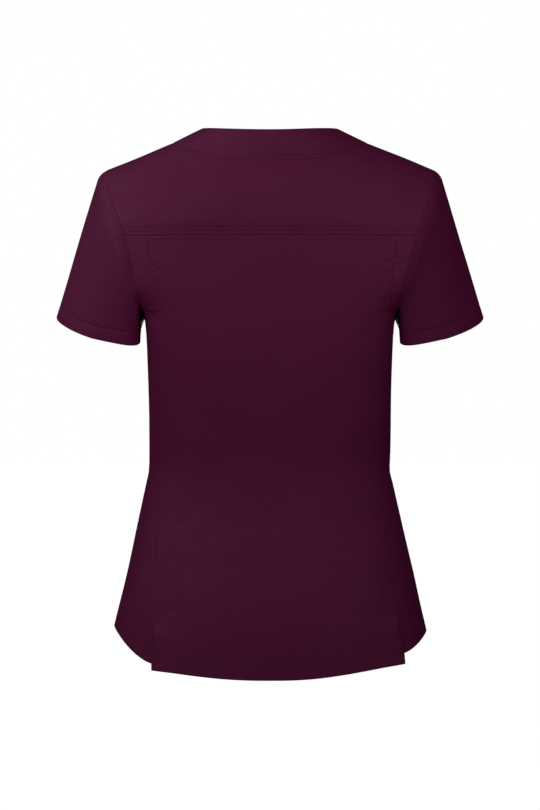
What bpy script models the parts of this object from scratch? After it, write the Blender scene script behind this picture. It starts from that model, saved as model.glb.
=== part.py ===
"""A women's scrub top, filled out as it is worn: neckband, yoke, back, sides, front and sleeves.

Metres, +Z up. The back faces -Y, the front +Y, and the wearer's right sleeve is at +X. The origin
lies between the two points where the neckband meets the shoulders, which is where a wearer holds
it up. Every piece is a cloth wall cut from one smooth form, so neighbours meet flush at a seam.
"""
import math
from collections import namedtuple

import bpy
import numpy as np

# ---------------------------------------------------------------------------------------- sizes
WALL = 0.002                # cloth with its folded seams, as one wall
SEAM_GAP = 0.0003           # what parts two pieces along a seam
SHARPEST = 0.6              # keeps the trim at a sharp corner from running away

RIDGE_TOP = 0.0539          # height of the shoulder line, carried on to the middle of the neck
RIDGE_SLOPE = 0.42          # fall of the shoulder line for each metre outwards
RIDGE_BLEND = 0.040         # rounds the two shoulder lines into each other inside the neck
SHOULDER_ROUND = 0.120      # height over which the shoulder turns into the upright wall
SEAM_TURN = 0.12            # the shoulder seam lies this many radians in front of the ridge

YOKE_SEAM = -0.1185         # height of the seam under the back yoke
UNDERARM = -0.216           # height of the lowest point of the armhole
FRONT_LEVEL = -0.165        # height where the V of the neck ends in the front panel

NECK_HALF_WIDTH = 0.1215    # from the middle to the neck seam, along the shoulder line
NECK_BACK_DROP = 0.0553     # from the shoulder line down to the neck seam at centre back
NECK_BACK_POWER = 2.2       # 2 would give an elliptical back neck
NECK_FRONT_POWER = 1.20     # 1 would give straight sides to the V
BAND_HALF_WIDTH = 0.0843    # half the opening at the top of the neckband
BAND_BACK_DEPTH = 0.080     # centre back of the band's top edge, behind the shoulder line
BAND_SIDE_HEIGHT = 0.0182
BAND_BACK_HEIGHT = 0.0118
BAND_FRONT_HEIGHT = -0.102  # the point of the V at the band's inner edge
BAND_FRONT_DEPTH = 0.104
BAND_FRONT_ROUND = 0.8      # under 1, the band comes forward sooner below the shoulder

CUFF_CENTRE = (0.2131, -0.006, -0.2300)
CUFF_HALF_WIDTH = 0.0553
CUFF_HALF_DEPTH = 0.0540
CUFF_LEAN = math.radians(17.6)      # the sleeve hangs this far out from the upright
CUFF_TIP = math.radians(14.2)       # and its hem is this much lower at the back
CUFF_TURN = 0.50            # for each metre outwards, the cuff lies this far forward
CUFF_POWER = {"outer": 2.0, "inner": 2.8}   # the inner half is a rounded box, as the sections are
CUFF_SHIFT = 0.12           # how far the ribs spread towards the inner half
CUFF_OVERHANG = 0.38        # how far the inner fold leans over the gap, towards the back
CUFF_RISE = 0.006           # how much the hem rises round the inner fold
CUFF_INNER = 0.95           # size of the inner half beside the outer half
HEAD_EASE = 0.0100          # the sleeve carries on this far from the armhole before it turns down
ARMPIT_EASE = 0.0028        # the same under the arm, where the sleeve turns back on itself
ARMPIT_BLEND = 0.045        # height over which one becomes the other
FLUSH = 0.5                 # sleeve and body whose directions agree this well share one edge
VALLEY = -0.2               # and below this each keeps its own, as in the fold under the arm
ARMPIT_WAY = np.array([0.5, 0.0, -1.0])     # the way the sleeve leaves the underarm, for +X

VENT_TOP = {-1: -0.585, 1: -0.575}  # where each side vent begins
VENT_LIFT = 0.0036          # the back panel's edge stands this far out over the side panel
VENT_LAP = 0.0050           # and laps this far over it at the hem
VENT_EASE = 0.018           # height over which the edge lifts
VENT_LAP_START = 0.028      # the lap begins this far below the vent's top
VENT_LAP_EASE = 0.024       # and is whole after this much more
VENT_SPREAD = 0.030         # width over which the lift fades into the panel

HEM_SIDE = {-1: -0.5964, 1: -0.6025}  # hem heights: at the side, then at each seam corner
HEM_BACK_CENTRE = -0.6550
HEM_BACK_CORNER = {-1: -0.6450, 1: -0.6382}
HEM_SIDE_BACK = {-1: -0.6374, 1: -0.6259}
HEM_FRONT_CORNER = -0.6230
HEM_FRONT_CENTRE = -0.6300
HEM_CURVE = 1.40            # how long the hem stays high at the side
HEM_POWER = 2.8             # 2 would give a parabola; above that, the middle is flatter
HEM_LEVEL = -0.63           # a mean height that the rows of faces are spaced to

# Sections of the body, from the top down. Each half is a rounded box: a power of 2 would make it
# an ellipse, and the higher the power, the flatter its face and the tighter its corners.
Section = namedtuple("Section", "height half_width back_depth front_depth back_power front_power")
SECTIONS = (
    Section(0.060, 0.2500, 0.1010, 0.0840, 3.20, 2.10),
    Section(0.000, 0.2500, 0.1020, 0.0900, 3.30, 2.10),
    Section(-0.050, 0.2427, 0.1030, 0.0980, 3.60, 2.10),
    Section(-0.080, 0.2330, 0.1035, 0.1040, 3.90, 2.10),
    Section(-0.118, 0.2190, 0.1040, 0.1130, 4.60, 2.15),
    Section(-0.150, 0.2030, 0.1040, 0.1200, 5.40, 2.20),
    Section(-0.180, 0.1840, 0.1035, 0.1255, 6.00, 2.30),
    Section(-0.200, 0.1645, 0.1030, 0.1280, 6.20, 2.40),
    Section(-0.216, 0.1545, 0.1025, 0.1290, 6.00, 2.50),
    Section(-0.250, 0.1515, 0.1005, 0.1280, 5.00, 2.50),
    Section(-0.315, 0.1496, 0.0950, 0.1180, 3.70, 2.45),
    Section(-0.360, 0.1492, 0.0910, 0.1090, 3.20, 2.40),
    Section(-0.392, 0.1490, 0.0888, 0.1030, 2.90, 2.40),
    Section(-0.405, 0.1497, 0.0885, 0.1020, 2.82, 2.38),
    Section(-0.418, 0.1523, 0.0887, 0.1022, 2.75, 2.36),
    Section(-0.450, 0.1592, 0.0915, 0.1040, 2.62, 2.34),
    Section(-0.500, 0.1705, 0.1005, 0.1085, 2.50, 2.32),
    Section(-0.560, 0.1846, 0.1125, 0.1140, 2.40, 2.30),
    Section(-0.600, 0.1938, 0.1190, 0.1165, 2.35, 2.30),
    Section(-0.680, 0.2100, 0.1280, 0.1190, 2.30, 2.30),
)

# Half the distance across from one armhole to the other, as seen from behind.
Armhole = namedtuple("Armhole", "height half_across")
ARMHOLE = (
    Armhole(0.000, 0.2060),
    Armhole(-0.032, 0.2018),
    Armhole(-0.068, 0.1948),
    Armhole(-0.096, 0.1838),
    Armhole(-0.1185, 0.1757),
    Armhole(-0.145, 0.1685),
    Armhole(-0.170, 0.1625),
    Armhole(-0.205, 0.1560),
    Armhole(-0.216, 0.1545),
)

# How far each princess seam lies from the middle.
PrincessSeam = namedtuple("PrincessSeam", "height left_back right_back front")
PRINCESS = (
    PrincessSeam(-0.1185, 0.1475, 0.1565, 0.1500),
    PrincessSeam(-0.136, 0.1450, 0.1528, 0.1470),
    PrincessSeam(-0.165, 0.1430, 0.1495, 0.1420),
    PrincessSeam(-0.195, 0.1415, 0.1470, 0.1360),
    PrincessSeam(-0.232, 0.1402, 0.1440, 0.1300),
    PrincessSeam(-0.281, 0.1382, 0.1412, 0.1240),
    PrincessSeam(-0.400, 0.1380, 0.1405, 0.1180),
    PrincessSeam(-0.500, 0.1410, 0.1465, 0.1270),
    PrincessSeam(-0.580, 0.1400, 0.1540, 0.1390),
    PrincessSeam(-0.660, 0.1374, 0.1600, 0.1500),
)
FRONT_SEAM_TOP = 0.160      # where the front princess seam meets the shoulder seam
FRONT_SEAM_BEND = 1.5       # above 1, it runs upright before it leans out to the shoulder
UNDER_NECK = 0.80           # the share of the yoke seam that the columns below the neck take

# How many faces each stretch has.
FINE = 400                  # points on a curve before it is thinned to even steps
SETTLE = 30                 # rounds that fit the armhole's width to its height
YOKE_RISE = 10
BACK_HORN_RISE = 9          # side panel, from the underarm to the yoke
FRONT_HORN_RISE = 6         # side panel, from the underarm to the V's level
FRONT_RISE = 9              # front, from the V's level to the shoulder seam
BODY_RISE = 22              # from the underarm to the hem
BACK_ACROSS = 18
SIDE_ACROSS = 5
FRONT_ACROSS = 16
NECK_BACK_ACROSS = 16
SHOULDER_ACROSS = 4
BAND_ACROSS = 2
SLEEVE_HEAD_RISE = 3
SLEEVE_RISE = 7

HEART = np.array([0.0, 0.0, -0.30])     # a point well inside, which outward directions leave

SHARP_EDGE = math.radians(40)
CLOTH_ROUGHNESS = 0.85

CLOTH = {
    "back_yoke": (0.060, 0.013, 0.034),
    "back_panel": (0.052, 0.011, 0.030),
    "side_panel": (0.047, 0.009, 0.027),
    "front_panel": (0.052, 0.011, 0.030),
    "sleeve": (0.060, 0.014, 0.036),
    "neckband": (0.056, 0.012, 0.032),
}


# ------------------------------------------------------------------------------- the whole form
def smooth_curve(table, column):
    """A smooth curve through one column of a table, against height, that never overshoots."""
    rows = sorted(table)
    xs = np.array([row.height for row in rows])
    ys = np.array([getattr(row, column) for row in rows])
    steps = np.diff(xs)
    slopes = np.diff(ys) / steps
    tangents = np.zeros(len(xs))
    tangents[0] = slopes[0]
    tangents[-1] = slopes[-1]
    for i in range(1, len(xs) - 1):
        if slopes[i - 1] * slopes[i] > 0:
            before = 2 * steps[i] + steps[i - 1]
            after = steps[i] + 2 * steps[i - 1]
            tangents[i] = (before + after) / (before / slopes[i - 1] + after / slopes[i])

    def value(height):
        height = np.clip(height, xs[0], xs[-1])
        i = np.clip(np.searchsorted(xs, height) - 1, 0, len(xs) - 2)
        t = (height - xs[i]) / steps[i]
        rise = (3 - 2 * t) * t * t
        lead = t * (1 - t) ** 2 * tangents[i] - t * t * (1 - t) * tangents[i + 1]
        return ys[i] + rise * (ys[i + 1] - ys[i]) + lead * steps[i]

    return value


half_width = smooth_curve(SECTIONS, "half_width")
back_depth = smooth_curve(SECTIONS, "back_depth")
front_depth = smooth_curve(SECTIONS, "front_depth")
back_power = smooth_curve(SECTIONS, "back_power")
front_power = smooth_curve(SECTIONS, "front_power")
armhole_across = smooth_curve(ARMHOLE, "half_across")
princess_across = {
    ("back", -1): smooth_curve(PRINCESS, "left_back"),
    ("back", 1): smooth_curve(PRINCESS, "right_back"),
    ("front", -1): smooth_curve(PRINCESS, "front"),
    ("front", 1): smooth_curve(PRINCESS, "front"),
}


def smooth_step(t):
    t = np.clip(t, 0, 1)
    return t * t * (3 - 2 * t)


def unit(vectors):
    return vectors / np.linalg.norm(vectors, axis=-1, keepdims=True)


def ridge_height(x):
    return RIDGE_TOP - RIDGE_SLOPE * np.sqrt(x * x + RIDGE_BLEND ** 2)


def turn_at(x, height):
    """How far the form has turned over the shoulder, in radians, at this height."""
    drop = (ridge_height(x) - height) / SHOULDER_ROUND
    return np.where(drop < 1, np.arccos(1 - np.clip(drop, 0, 1)), math.pi / 2 + drop - 1)


def over_shoulder(x, turn):
    """A point of the form: turn is 0 on the shoulder line, negative behind, positive in front."""
    x = np.asarray(x, float)
    turn = np.asarray(turn, float)
    bend = np.abs(turn)
    rounded = bend < math.pi / 2
    drop = SHOULDER_ROUND * np.where(rounded, 1 - np.cos(bend), 1 + bend - math.pi / 2)
    z = ridge_height(x) - drop
    reach = np.where(rounded, np.sin(bend), 1.0)
    depth = np.where(turn < 0, -back_depth(z), front_depth(z))
    power = np.where(turn < 0, back_power(z), front_power(z))
    across = np.clip(np.abs(x) / half_width(z), 0, 1)
    y = depth * (1 - across ** power) ** (1 / power) * reach
    return np.stack(np.broadcast_arrays(x, y, z), axis=-1)


def around(angle, z):
    """A point of the form: angle is 0 at centre back, a quarter turn at +X, a half at the front."""
    angle = np.asarray(angle, float)
    z = np.asarray(z, float)
    power = np.where(np.cos(angle) > 0, back_power(z), front_power(z))
    depth = np.where(np.cos(angle) > 0, back_depth(z), front_depth(z))
    sine = np.abs(np.sin(angle)) / half_width(z)
    cosine = np.abs(np.cos(angle)) / depth
    radius = (sine ** power + cosine ** power) ** (-1 / power)
    x = radius * np.sin(angle)
    bend = np.minimum(turn_at(x, z), math.pi / 2)
    y = -radius * np.cos(angle) * np.sin(bend)
    return np.stack(np.broadcast_arrays(x, y, z), axis=-1)


def angle_of(x, z, face):
    """The angle at which the form is x from the middle, on its back or its front."""
    power = back_power(z) if face == "back" else front_power(z)
    depth = back_depth(z) if face == "back" else front_depth(z)
    across = np.clip(np.abs(x) / half_width(z), 0, 1)
    y = depth * (1 - across ** power) ** (1 / power)
    return np.arctan2(x, y if face == "back" else -y)


def outward(form, first, second):
    """The form's outward direction at (first, second)."""
    step = 1e-5
    along = form(first + step, second) - form(first - step, second)
    across = form(first, second + step) - form(first, second - step)
    normal = unit(np.cross(along, across))
    points = form(first, second)
    facing = np.sum(normal * (points - HEART), axis=-1, keepdims=True)
    return np.where(facing < 0, -normal, normal)


def evenly(xs, turns, count):
    """Thin a dense curve on the form to count + 1 points at equal distances."""
    points = over_shoulder(xs, turns)
    lengths = np.linalg.norm(np.diff(points, axis=0), axis=1)
    run = np.concatenate(([0.0], np.cumsum(lengths)))
    marks = np.linspace(0, run[-1], count + 1)
    return np.interp(marks, run, xs), np.interp(marks, run, turns)


# ------------------------------------------------------------------------- seams and their rows
def fan_heights(low, high, count):
    """Heights from low to high, close together where the armhole turns under the arm."""
    last = math.acos(1 - (high - low) / (YOKE_SEAM - UNDERARM))
    return [low + (YOKE_SEAM - UNDERARM) * (1 - math.cos(last * i / count))
            for i in range(count + 1)]


BACK_HORN = np.array(fan_heights(UNDERARM, YOKE_SEAM, BACK_HORN_RISE))
FRONT_HORN = np.array(fan_heights(UNDERARM, FRONT_LEVEL, FRONT_HORN_RISE))


def armhole_curve(face, low, count):
    """The armhole from height low up to the shoulder seam, as (x, turn), for the +X side."""
    start = float(turn_at(armhole_across(low), low))
    turns = np.linspace(-start if face == "back" else start, SEAM_TURN, FINE)
    xs = np.full(turns.shape, float(armhole_across(0)))
    for _ in range(SETTLE):
        xs = armhole_across(over_shoulder(xs, turns)[:, 2])
    return evenly(xs, turns, count)


def back_neck(bearing):
    """The neck seam at the back as (x, turn); bearing is 0 at centre back, signed like x."""
    facing = np.cos(bearing)
    drop = NECK_BACK_DROP * np.abs(facing) ** NECK_BACK_POWER
    turn = np.arccos(1 - drop / SHOULDER_ROUND)
    return NECK_HALF_WIDTH * np.sin(bearing), -np.sign(facing) * turn


SEAM_DROP = SHOULDER_ROUND * (1 - math.cos(SEAM_TURN))
SEAM_BEARING = math.pi / 2 + math.asin((SEAM_DROP / NECK_BACK_DROP) ** (1 / NECK_BACK_POWER))
SEAM_NECK_X = NECK_HALF_WIDTH * math.sin(SEAM_BEARING)
SEAM_NECK_Z = float(ridge_height(SEAM_NECK_X)) - SEAM_DROP


def front_neck(count):
    """The neck seam at the front, from the V up to the shoulder seam, as (x, turn) at +X."""
    z = np.linspace(FRONT_LEVEL, SEAM_NECK_Z, FINE)
    fall = (SEAM_NECK_Z - z) / (SEAM_NECK_Z - FRONT_LEVEL)
    x = SEAM_NECK_X * (1 - fall ** NECK_FRONT_POWER)
    return evenly(x, turn_at(x, z), count)


def front_princess_top(count):
    """The front princess seam from the V's level up to the shoulder seam, as (x, turn)."""
    low_x = float(princess_across["front", 1](FRONT_LEVEL))
    low_turn = float(turn_at(low_x, FRONT_LEVEL))
    t = np.linspace(0, 1, FINE)
    x = low_x + (FRONT_SEAM_TOP - low_x) * t ** FRONT_SEAM_BEND
    return evenly(x, low_turn + (SEAM_TURN - low_turn) * t, count)


def hem_at(angle, side, piece):
    """Height of the hem of one piece at an angle round the body."""
    angle = np.abs(angle)
    quarter = math.pi / 2
    seam_back = angle_of(princess_across["back", side](HEM_LEVEL), HEM_LEVEL, "back")
    seam_front = angle_of(princess_across["front", side](HEM_LEVEL), HEM_LEVEL, "front")
    if piece == "side":
        top = HEM_SIDE[side]
        back = np.clip((quarter - angle) / (quarter - seam_back), 0, 1)
        front = np.clip((angle - quarter) / (seam_front - quarter), 0, 1)
        back_fall = (HEM_SIDE_BACK[side] - top) * smooth_step(back ** HEM_CURVE)
        front_fall = (HEM_FRONT_CORNER - top) * smooth_step(front ** HEM_CURVE)
        return top + back_fall + front_fall
    if piece == "back":
        centre, corner, seam = HEM_BACK_CENTRE, HEM_BACK_CORNER[side], seam_back
    else:
        centre, corner, seam = HEM_FRONT_CENTRE, HEM_FRONT_CORNER, seam_front
    share = np.sin(angle) / np.sin(seam)
    return centre + (corner - centre) * np.abs(share) ** HEM_POWER


# ----------------------------------------------------------------------------- making the walls
class Cloth:
    """Outer points of a piece with their outward directions, gathered patch by patch."""

    def __init__(self):
        self.points = []
        self.normals = []
        self.faces = []
        self.known = {}

    def vertex(self, point, normal):
        key = tuple(np.round(point, 6))
        if key not in self.known:
            self.known[key] = len(self.points)
            self.points.append(np.array(point))
            self.normals.append(np.array(normal))
        return self.known[key]

    def patch(self, points, normals):
        """Add a patch of rows x columns points; points that fall together are shared."""
        rows, columns = points.shape[:2]
        index = [[self.vertex(points[i, j], normals[i, j]) for j in range(columns)]
                 for i in range(rows)]
        for i in range(rows - 1):
            for j in range(columns - 1):
                corners = (index[i][j], index[i][j + 1], index[i + 1][j + 1], index[i + 1][j])
                face = [c for k, c in enumerate(corners) if c != corners[k - 1]]
                if len(face) > 2:
                    self.faces.append(self.facing_out(face))

    def facing_out(self, face):
        a, b, c = (self.points[i] for i in (face[0], face[1], face[2]))
        middle = sum(self.normals[i] for i in face)
        return face if np.dot(np.cross(b - a, c - b), middle) > 0 else face[::-1]

    def border(self):
        """Directed edges that only one face has."""
        edges = set()
        for face in self.faces:
            for k, corner in enumerate(face):
                edges.add((face[k - 1], corner))
        return [(a, b) for a, b in edges if (b, a) not in edges]

    def trimmed(self, amount):
        """The outer points with every border drawn in by amount, within the cloth."""
        inward = {}
        for a, b in self.border():
            along = unit(self.points[b] - self.points[a])
            for corner in (a, b):
                inward.setdefault(corner, []).append(unit(np.cross(self.normals[corner], along)))
        points = [p.copy() for p in self.points]
        for corner, ways in inward.items():
            total = sum(ways)
            stretch = 1 + np.dot(ways[0], ways[-1])
            points[corner] += amount * total / max(stretch, SHARPEST)
        return points


def build_wall(name, cloth, colour):
    """Turn the outer points into a closed wall and give it a plain cloth material."""
    outer = cloth.trimmed(SEAM_GAP / 2)
    inner = [p - WALL * n for p, n in zip(outer, cloth.normals)]
    count = len(outer)
    faces = [tuple(face) for face in cloth.faces]
    faces += [tuple(i + count for i in reversed(face)) for face in cloth.faces]
    faces += [(b, a, a + count, b + count) for a, b in cloth.border()]
    mesh = bpy.data.meshes.new(name)
    mesh.from_pydata([tuple(p) for p in outer + inner], [], faces)
    mesh.validate()
    mesh.shade_smooth()
    mesh.set_sharp_from_angle(angle=SHARP_EDGE)
    material = bpy.data.materials.new(name)
    material.use_nodes = True
    shader = material.node_tree.nodes["Principled BSDF"]
    shader.inputs["Base Color"].default_value = (*colour, 1.0)
    shader.inputs["Roughness"].default_value = CLOTH_ROUGHNESS
    shader.inputs["Metallic"].default_value = 0.0
    mesh.materials.append(material)
    piece = bpy.data.objects.new(name, mesh)
    bpy.context.scene.collection.objects.link(piece)
    return piece


def coons(bottom, top, left, right):
    """Fill the space between four edges, each an array of values in the same two coordinates."""
    s = np.linspace(0, 1, len(bottom))[None, :, None]
    t = np.linspace(0, 1, len(left))[:, None, None]
    across = (1 - t) * bottom[None] + t * top[None]
    up = (1 - s) * left[:, None] + s * right[:, None]
    corners = ((1 - s) * (1 - t) * bottom[0] + s * (1 - t) * bottom[-1]
               + (1 - s) * t * top[0] + s * t * top[-1])
    return across + up - corners


# --------------------------------------------------------------------------------------- pieces
def back_yoke():
    """From the yoke seam up to the neck seam and over the shoulders to the shoulder seams."""
    arm_x, arm_turn = armhole_curve("back", YOKE_SEAM, YOKE_RISE)
    right = np.stack((arm_x, arm_turn), axis=-1)
    left = right * (-1, 1)
    bearings = np.linspace(-SEAM_BEARING, SEAM_BEARING, NECK_BACK_ACROSS + 1)
    neck = np.stack(back_neck(bearings), axis=-1)
    tip = arm_x[-1]
    shoulder_x = np.linspace(tip, SEAM_NECK_X, SHOULDER_ACROSS + 1)[:-1]
    shoulder = np.stack((shoulder_x, np.full(SHOULDER_ACROSS, SEAM_TURN)), axis=-1)
    top = np.concatenate((shoulder * (-1, 1), neck, shoulder[::-1]))
    under_neck = UNDER_NECK * arm_x[0]
    bottom_x = np.concatenate((
        np.linspace(-arm_x[0], -under_neck, SHOULDER_ACROSS + 1)[:-1],
        np.linspace(-under_neck, under_neck, NECK_BACK_ACROSS + 1),
        np.linspace(under_neck, arm_x[0], SHOULDER_ACROSS + 1)[1:]))
    bottom = np.stack((bottom_x, -turn_at(bottom_x, YOKE_SEAM)), axis=-1)
    grid = coons(bottom, top, left, right)
    cloth = Cloth()
    cloth.patch(over_shoulder(grid[..., 0], grid[..., 1]),
                outward(over_shoulder, grid[..., 0], grid[..., 1]))
    return cloth


def body_heights(angle, side, piece):
    """Heights down one column, level from the underarm to the hip and then easing to the hem."""
    share = np.linspace(0, 1, BODY_RISE + 1)
    level = UNDERARM + (HEM_LEVEL - UNDERARM) * share
    return level + (hem_at(angle, side, piece) - HEM_LEVEL) * smooth_step(2 * share - 1)


def body_patch(start, end, side, piece, columns):
    """Angles and heights from the underarm down to the hem between two seams."""
    share = np.linspace(0, 1, columns + 1)
    last = start(HEM_LEVEL) * (1 - share) + end(HEM_LEVEL) * share
    heights = np.stack([body_heights(a, sign_or(side, a), piece) for a in last], axis=-1)
    return start(heights) * (1 - share) + end(heights) * share, heights


def sign_or(side, angle):
    """The side a column lies on: the piece's own, or for a middle piece its angle's sign."""
    return side if side else (1 if angle >= 0 else -1)


def seam_angle(face, side):
    """The angle of a princess seam as a function of height."""
    def value(z):
        return side * angle_of(princess_across[face, side](z), z, face)
    return value


def horn_edge(face, side):
    """The angle of the armhole as a function of height, above the underarm."""
    def value(z):
        angle = angle_of(armhole_across(z), z, face)
        return side * np.where(z <= UNDERARM + 1e-9, math.pi / 2, angle)
    return value


def side_line(side):
    def value(z):
        return np.full(np.shape(z), side * math.pi / 2)
    return value


def row_patch(cloth, start, end, rows, columns):
    """A patch on level rows between two angles that depend on height."""
    share = np.linspace(0, 1, columns + 1)
    heights = np.repeat(rows[:, None], columns + 1, axis=1)
    angles = start(rows)[:, None] * (1 - share) + end(rows)[:, None] * share
    cloth.patch(around(angles, heights), outward(around, angles, heights))
    return angles


def back_panel():
    """Between the back princess seams, from the yoke to the hem, lapping over both vents."""
    cloth = Cloth()
    left = seam_angle("back", -1)
    right = seam_angle("back", 1)
    row_patch(cloth, left, right, BACK_HORN, BACK_ACROSS)
    angles, heights = body_patch(left, right, 0, "back", BACK_ACROSS)
    points = around(angles, heights)
    normals = outward(around, angles, heights)
    for side, edge in ((-1, 0), (1, -1)):
        below = VENT_TOP[side] - heights
        lap = VENT_LAP * smooth_step((below - VENT_LAP_START) / VENT_LAP_EASE)
        lift = VENT_LIFT * smooth_step(below / VENT_EASE)
        away = np.linalg.norm(points - points[:, edge][:, None], axis=-1)
        fade = 1 - smooth_step(away / VENT_SPREAD)
        sideways = np.cross(normals, (0.0, 0.0, -side))
        points = points + (lift * fade)[..., None] * normals
        points = points + (lap * fade)[..., None] * unit(sideways)
    cloth.patch(points, normals)
    return cloth


def upper_front(cloth, inner, outer, base_x, side):
    """A patch from the V's level up to the shoulder seam, between two curves in (x, turn)."""
    inner = np.stack(inner, axis=-1)
    outer = np.stack(outer, axis=-1)
    share = ((base_x - base_x[0]) / (base_x[-1] - base_x[0]))[None, :, None]
    grid = inner[:, None] * (1 - share) + outer[:, None] * share
    straight = grid[0, :, 1]
    fix = turn_at(base_x, FRONT_LEVEL) - straight
    grid[..., 1] += np.linspace(1, 0, len(inner))[:, None] * fix
    grid[..., 0] *= side
    cloth.patch(over_shoulder(grid[..., 0], grid[..., 1]),
                outward(over_shoulder, grid[..., 0], grid[..., 1]))


def side_panel(side):
    """From the back princess seam round under the arm to the front one and up to the shoulder."""
    cloth = Cloth()
    back = seam_angle("back", side)
    front = seam_angle("front", side)
    middle = side_line(side)
    row_patch(cloth, back, horn_edge("back", side), BACK_HORN, SIDE_ACROSS)
    angles = row_patch(cloth, horn_edge("front", side), front, FRONT_HORN, SIDE_ACROSS)
    for start, end in ((back, middle), (middle, front)):
        turned, heights = body_patch(start, end, side, "side", SIDE_ACROSS)
        cloth.patch(around(turned, heights), outward(around, turned, heights))
    base_x = np.abs(around(angles[-1], np.full(SIDE_ACROSS + 1, FRONT_LEVEL))[:, 0])[::-1]
    upper_front(cloth, front_princess_top(FRONT_RISE),
                armhole_curve("front", FRONT_LEVEL, FRONT_RISE), base_x, side)
    return cloth


def front_panel():
    """Between the front princess seams, with the V neck, from the shoulder seams to the hem."""
    cloth = Cloth()
    left = seam_angle("front", -1)
    right = seam_angle("front", 1)

    def left_on_round(z):
        return 2 * math.pi + left(z)

    angles = row_patch(cloth, right, left_on_round, FRONT_HORN, FRONT_ACROSS)
    turned, heights = body_patch(right, left_on_round, 0, "front", FRONT_ACROSS)
    cloth.patch(around(turned, heights), outward(around, turned, heights))
    base = around(angles[-1], np.full(FRONT_ACROSS + 1, FRONT_LEVEL))[:, 0]
    half = FRONT_ACROSS // 2
    right_x = base[:half + 1][::-1].copy()
    right_x[0] = 0.0
    for side in (-1, 1):
        upper_front(cloth, front_neck(FRONT_RISE), front_princess_top(FRONT_RISE), right_x, side)
    return cloth


def armhole_loop(side):
    """The armhole from the shoulder seam down the back and up the front, with its directions."""
    x, turn = armhole_curve("back", YOKE_SEAM, YOKE_RISE)
    x = side * x[::-1]
    turn = turn[::-1]
    points = [over_shoulder(x, turn)]
    normals = [outward(over_shoulder, x, turn)]
    for face, rows in (("back", BACK_HORN[::-1][1:]), ("front", FRONT_HORN[1:])):
        angle = horn_edge(face, side)(rows)
        points.append(around(angle, rows))
        normals.append(outward(around, angle, rows))
    x, turn = armhole_curve("front", FRONT_LEVEL, FRONT_RISE)
    points.append(over_shoulder(side * x[1:-1], turn[1:-1]))
    normals.append(outward(over_shoulder, side * x[1:-1], turn[1:-1]))
    points = np.concatenate(points)
    normals = np.concatenate(normals)
    along = unit(np.roll(points, -1, axis=0) - np.roll(points, 1, axis=0))
    crossing = np.cross(along, normals)
    flip = np.sum(crossing * (side, 0, 0), axis=-1, keepdims=True)
    lowest = int(np.argmin(points[:, 2]))
    crossing = unit(crossing * np.where(flip < 0, -1, 1))
    crossing[lowest] = (0, 0, 1)
    return points, normals, crossing, lowest


def cuff_point(bearing, side):
    """A point of the cuff's edge; bearing is 0 at the outside, a quarter turn at the back."""
    lean = np.array([math.sin(CUFF_LEAN), 0.0, -math.cos(CUFF_LEAN)])
    out = np.array([math.cos(CUFF_LEAN), 0.0, math.sin(CUFF_LEAN)])
    forward = math.cos(CUFF_TIP) * np.array([0.0, 1.0, 0.0]) - math.sin(CUFF_TIP) * lean
    power = CUFF_POWER["outer" if math.cos(bearing) > 0 else "inner"]
    radius = (abs(math.cos(bearing)) ** power + abs(math.sin(bearing)) ** power) ** (-1 / power)
    across = CUFF_HALF_WIDTH * radius * math.cos(bearing)
    inner = CUFF_INNER * min(across, 0)
    across = max(across, 0) + inner
    point = (np.array(CUFF_CENTRE) + across * out
             - CUFF_HALF_DEPTH * radius * math.sin(bearing) * forward)
    point += (inner * CUFF_OVERHANG * math.sin(bearing), CUFF_TURN * across,
              CUFF_RISE * (inner / CUFF_HALF_WIDTH) ** 6)
    return point * (side, 1, 1)


def sleeve(side):
    """From the armhole over a rounded head and straight down to the cuff."""
    loop, body_normals, crossing, lowest = armhole_loop(side)
    count = len(loop)
    top = int(np.argmin(np.abs(loop[:, 1]) + (loop[:, 2] < UNDERARM / 2)))
    run = np.concatenate(([0.0], np.cumsum(
        np.linalg.norm(np.roll(loop, -1, axis=0) - loop, axis=1))))
    whole = run[-1]
    ribs = []
    for j in range(count):
        from_top = (run[j] - run[top]) % whole
        to_low = (run[lowest] - run[top]) % whole
        if from_top <= to_low:
            share = from_top / to_low
        else:
            share = 2 - (whole - from_top) / (whole - to_low)
        shift = CUFF_SHIFT * math.sin(math.pi * share)
        end = cuff_point(math.pi * (share + shift), side)
        high = smooth_step((loop[j, 2] - UNDERARM) / ARMPIT_BLEND)
        away = unit(ARMPIT_WAY * (side, 1, 1))
        way = unit(high * crossing[j] + (1 - high) * away)
        reach = ARMPIT_EASE + (HEAD_EASE - ARMPIT_EASE) * high
        corner = loop[j] + reach * way
        landing = corner + reach * unit(end - corner)
        t = np.linspace(0, 1, SLEEVE_HEAD_RISE + 1)[:, None]
        head = (1 - t) ** 2 * loop[j] + 2 * t * (1 - t) * corner + t * t * landing
        t = np.linspace(0, 1, SLEEVE_RISE + 1)[1:, None]
        ribs.append(np.concatenate((head, landing + (end - landing) * t)))
    points = np.stack(ribs, axis=1)
    points = np.concatenate((points, points[:, :1]), axis=1)
    along = np.gradient(points, axis=0)
    across = np.roll(points[:, :-1], -1, axis=1) - np.roll(points[:, :-1], 1, axis=1)
    across = np.concatenate((across, across[:, :1]), axis=1)
    normals = unit(np.cross(along, across))
    axis = np.mean(points[:, :-1], axis=1, keepdims=True)
    facing = np.sum(normals * (points - axis), axis=(1, 2)).mean()
    normals = normals if facing > 0 else -normals
    body = np.concatenate((body_normals, body_normals[:1]))
    agree = np.sum(normals[0] * body, axis=-1, keepdims=True)
    share = smooth_step((agree - VALLEY) / (FLUSH - VALLEY))
    normals[0] = unit(share * body + (1 - share) * normals[0])
    cloth = Cloth()
    cloth.patch(points, normals)
    return cloth


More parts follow.
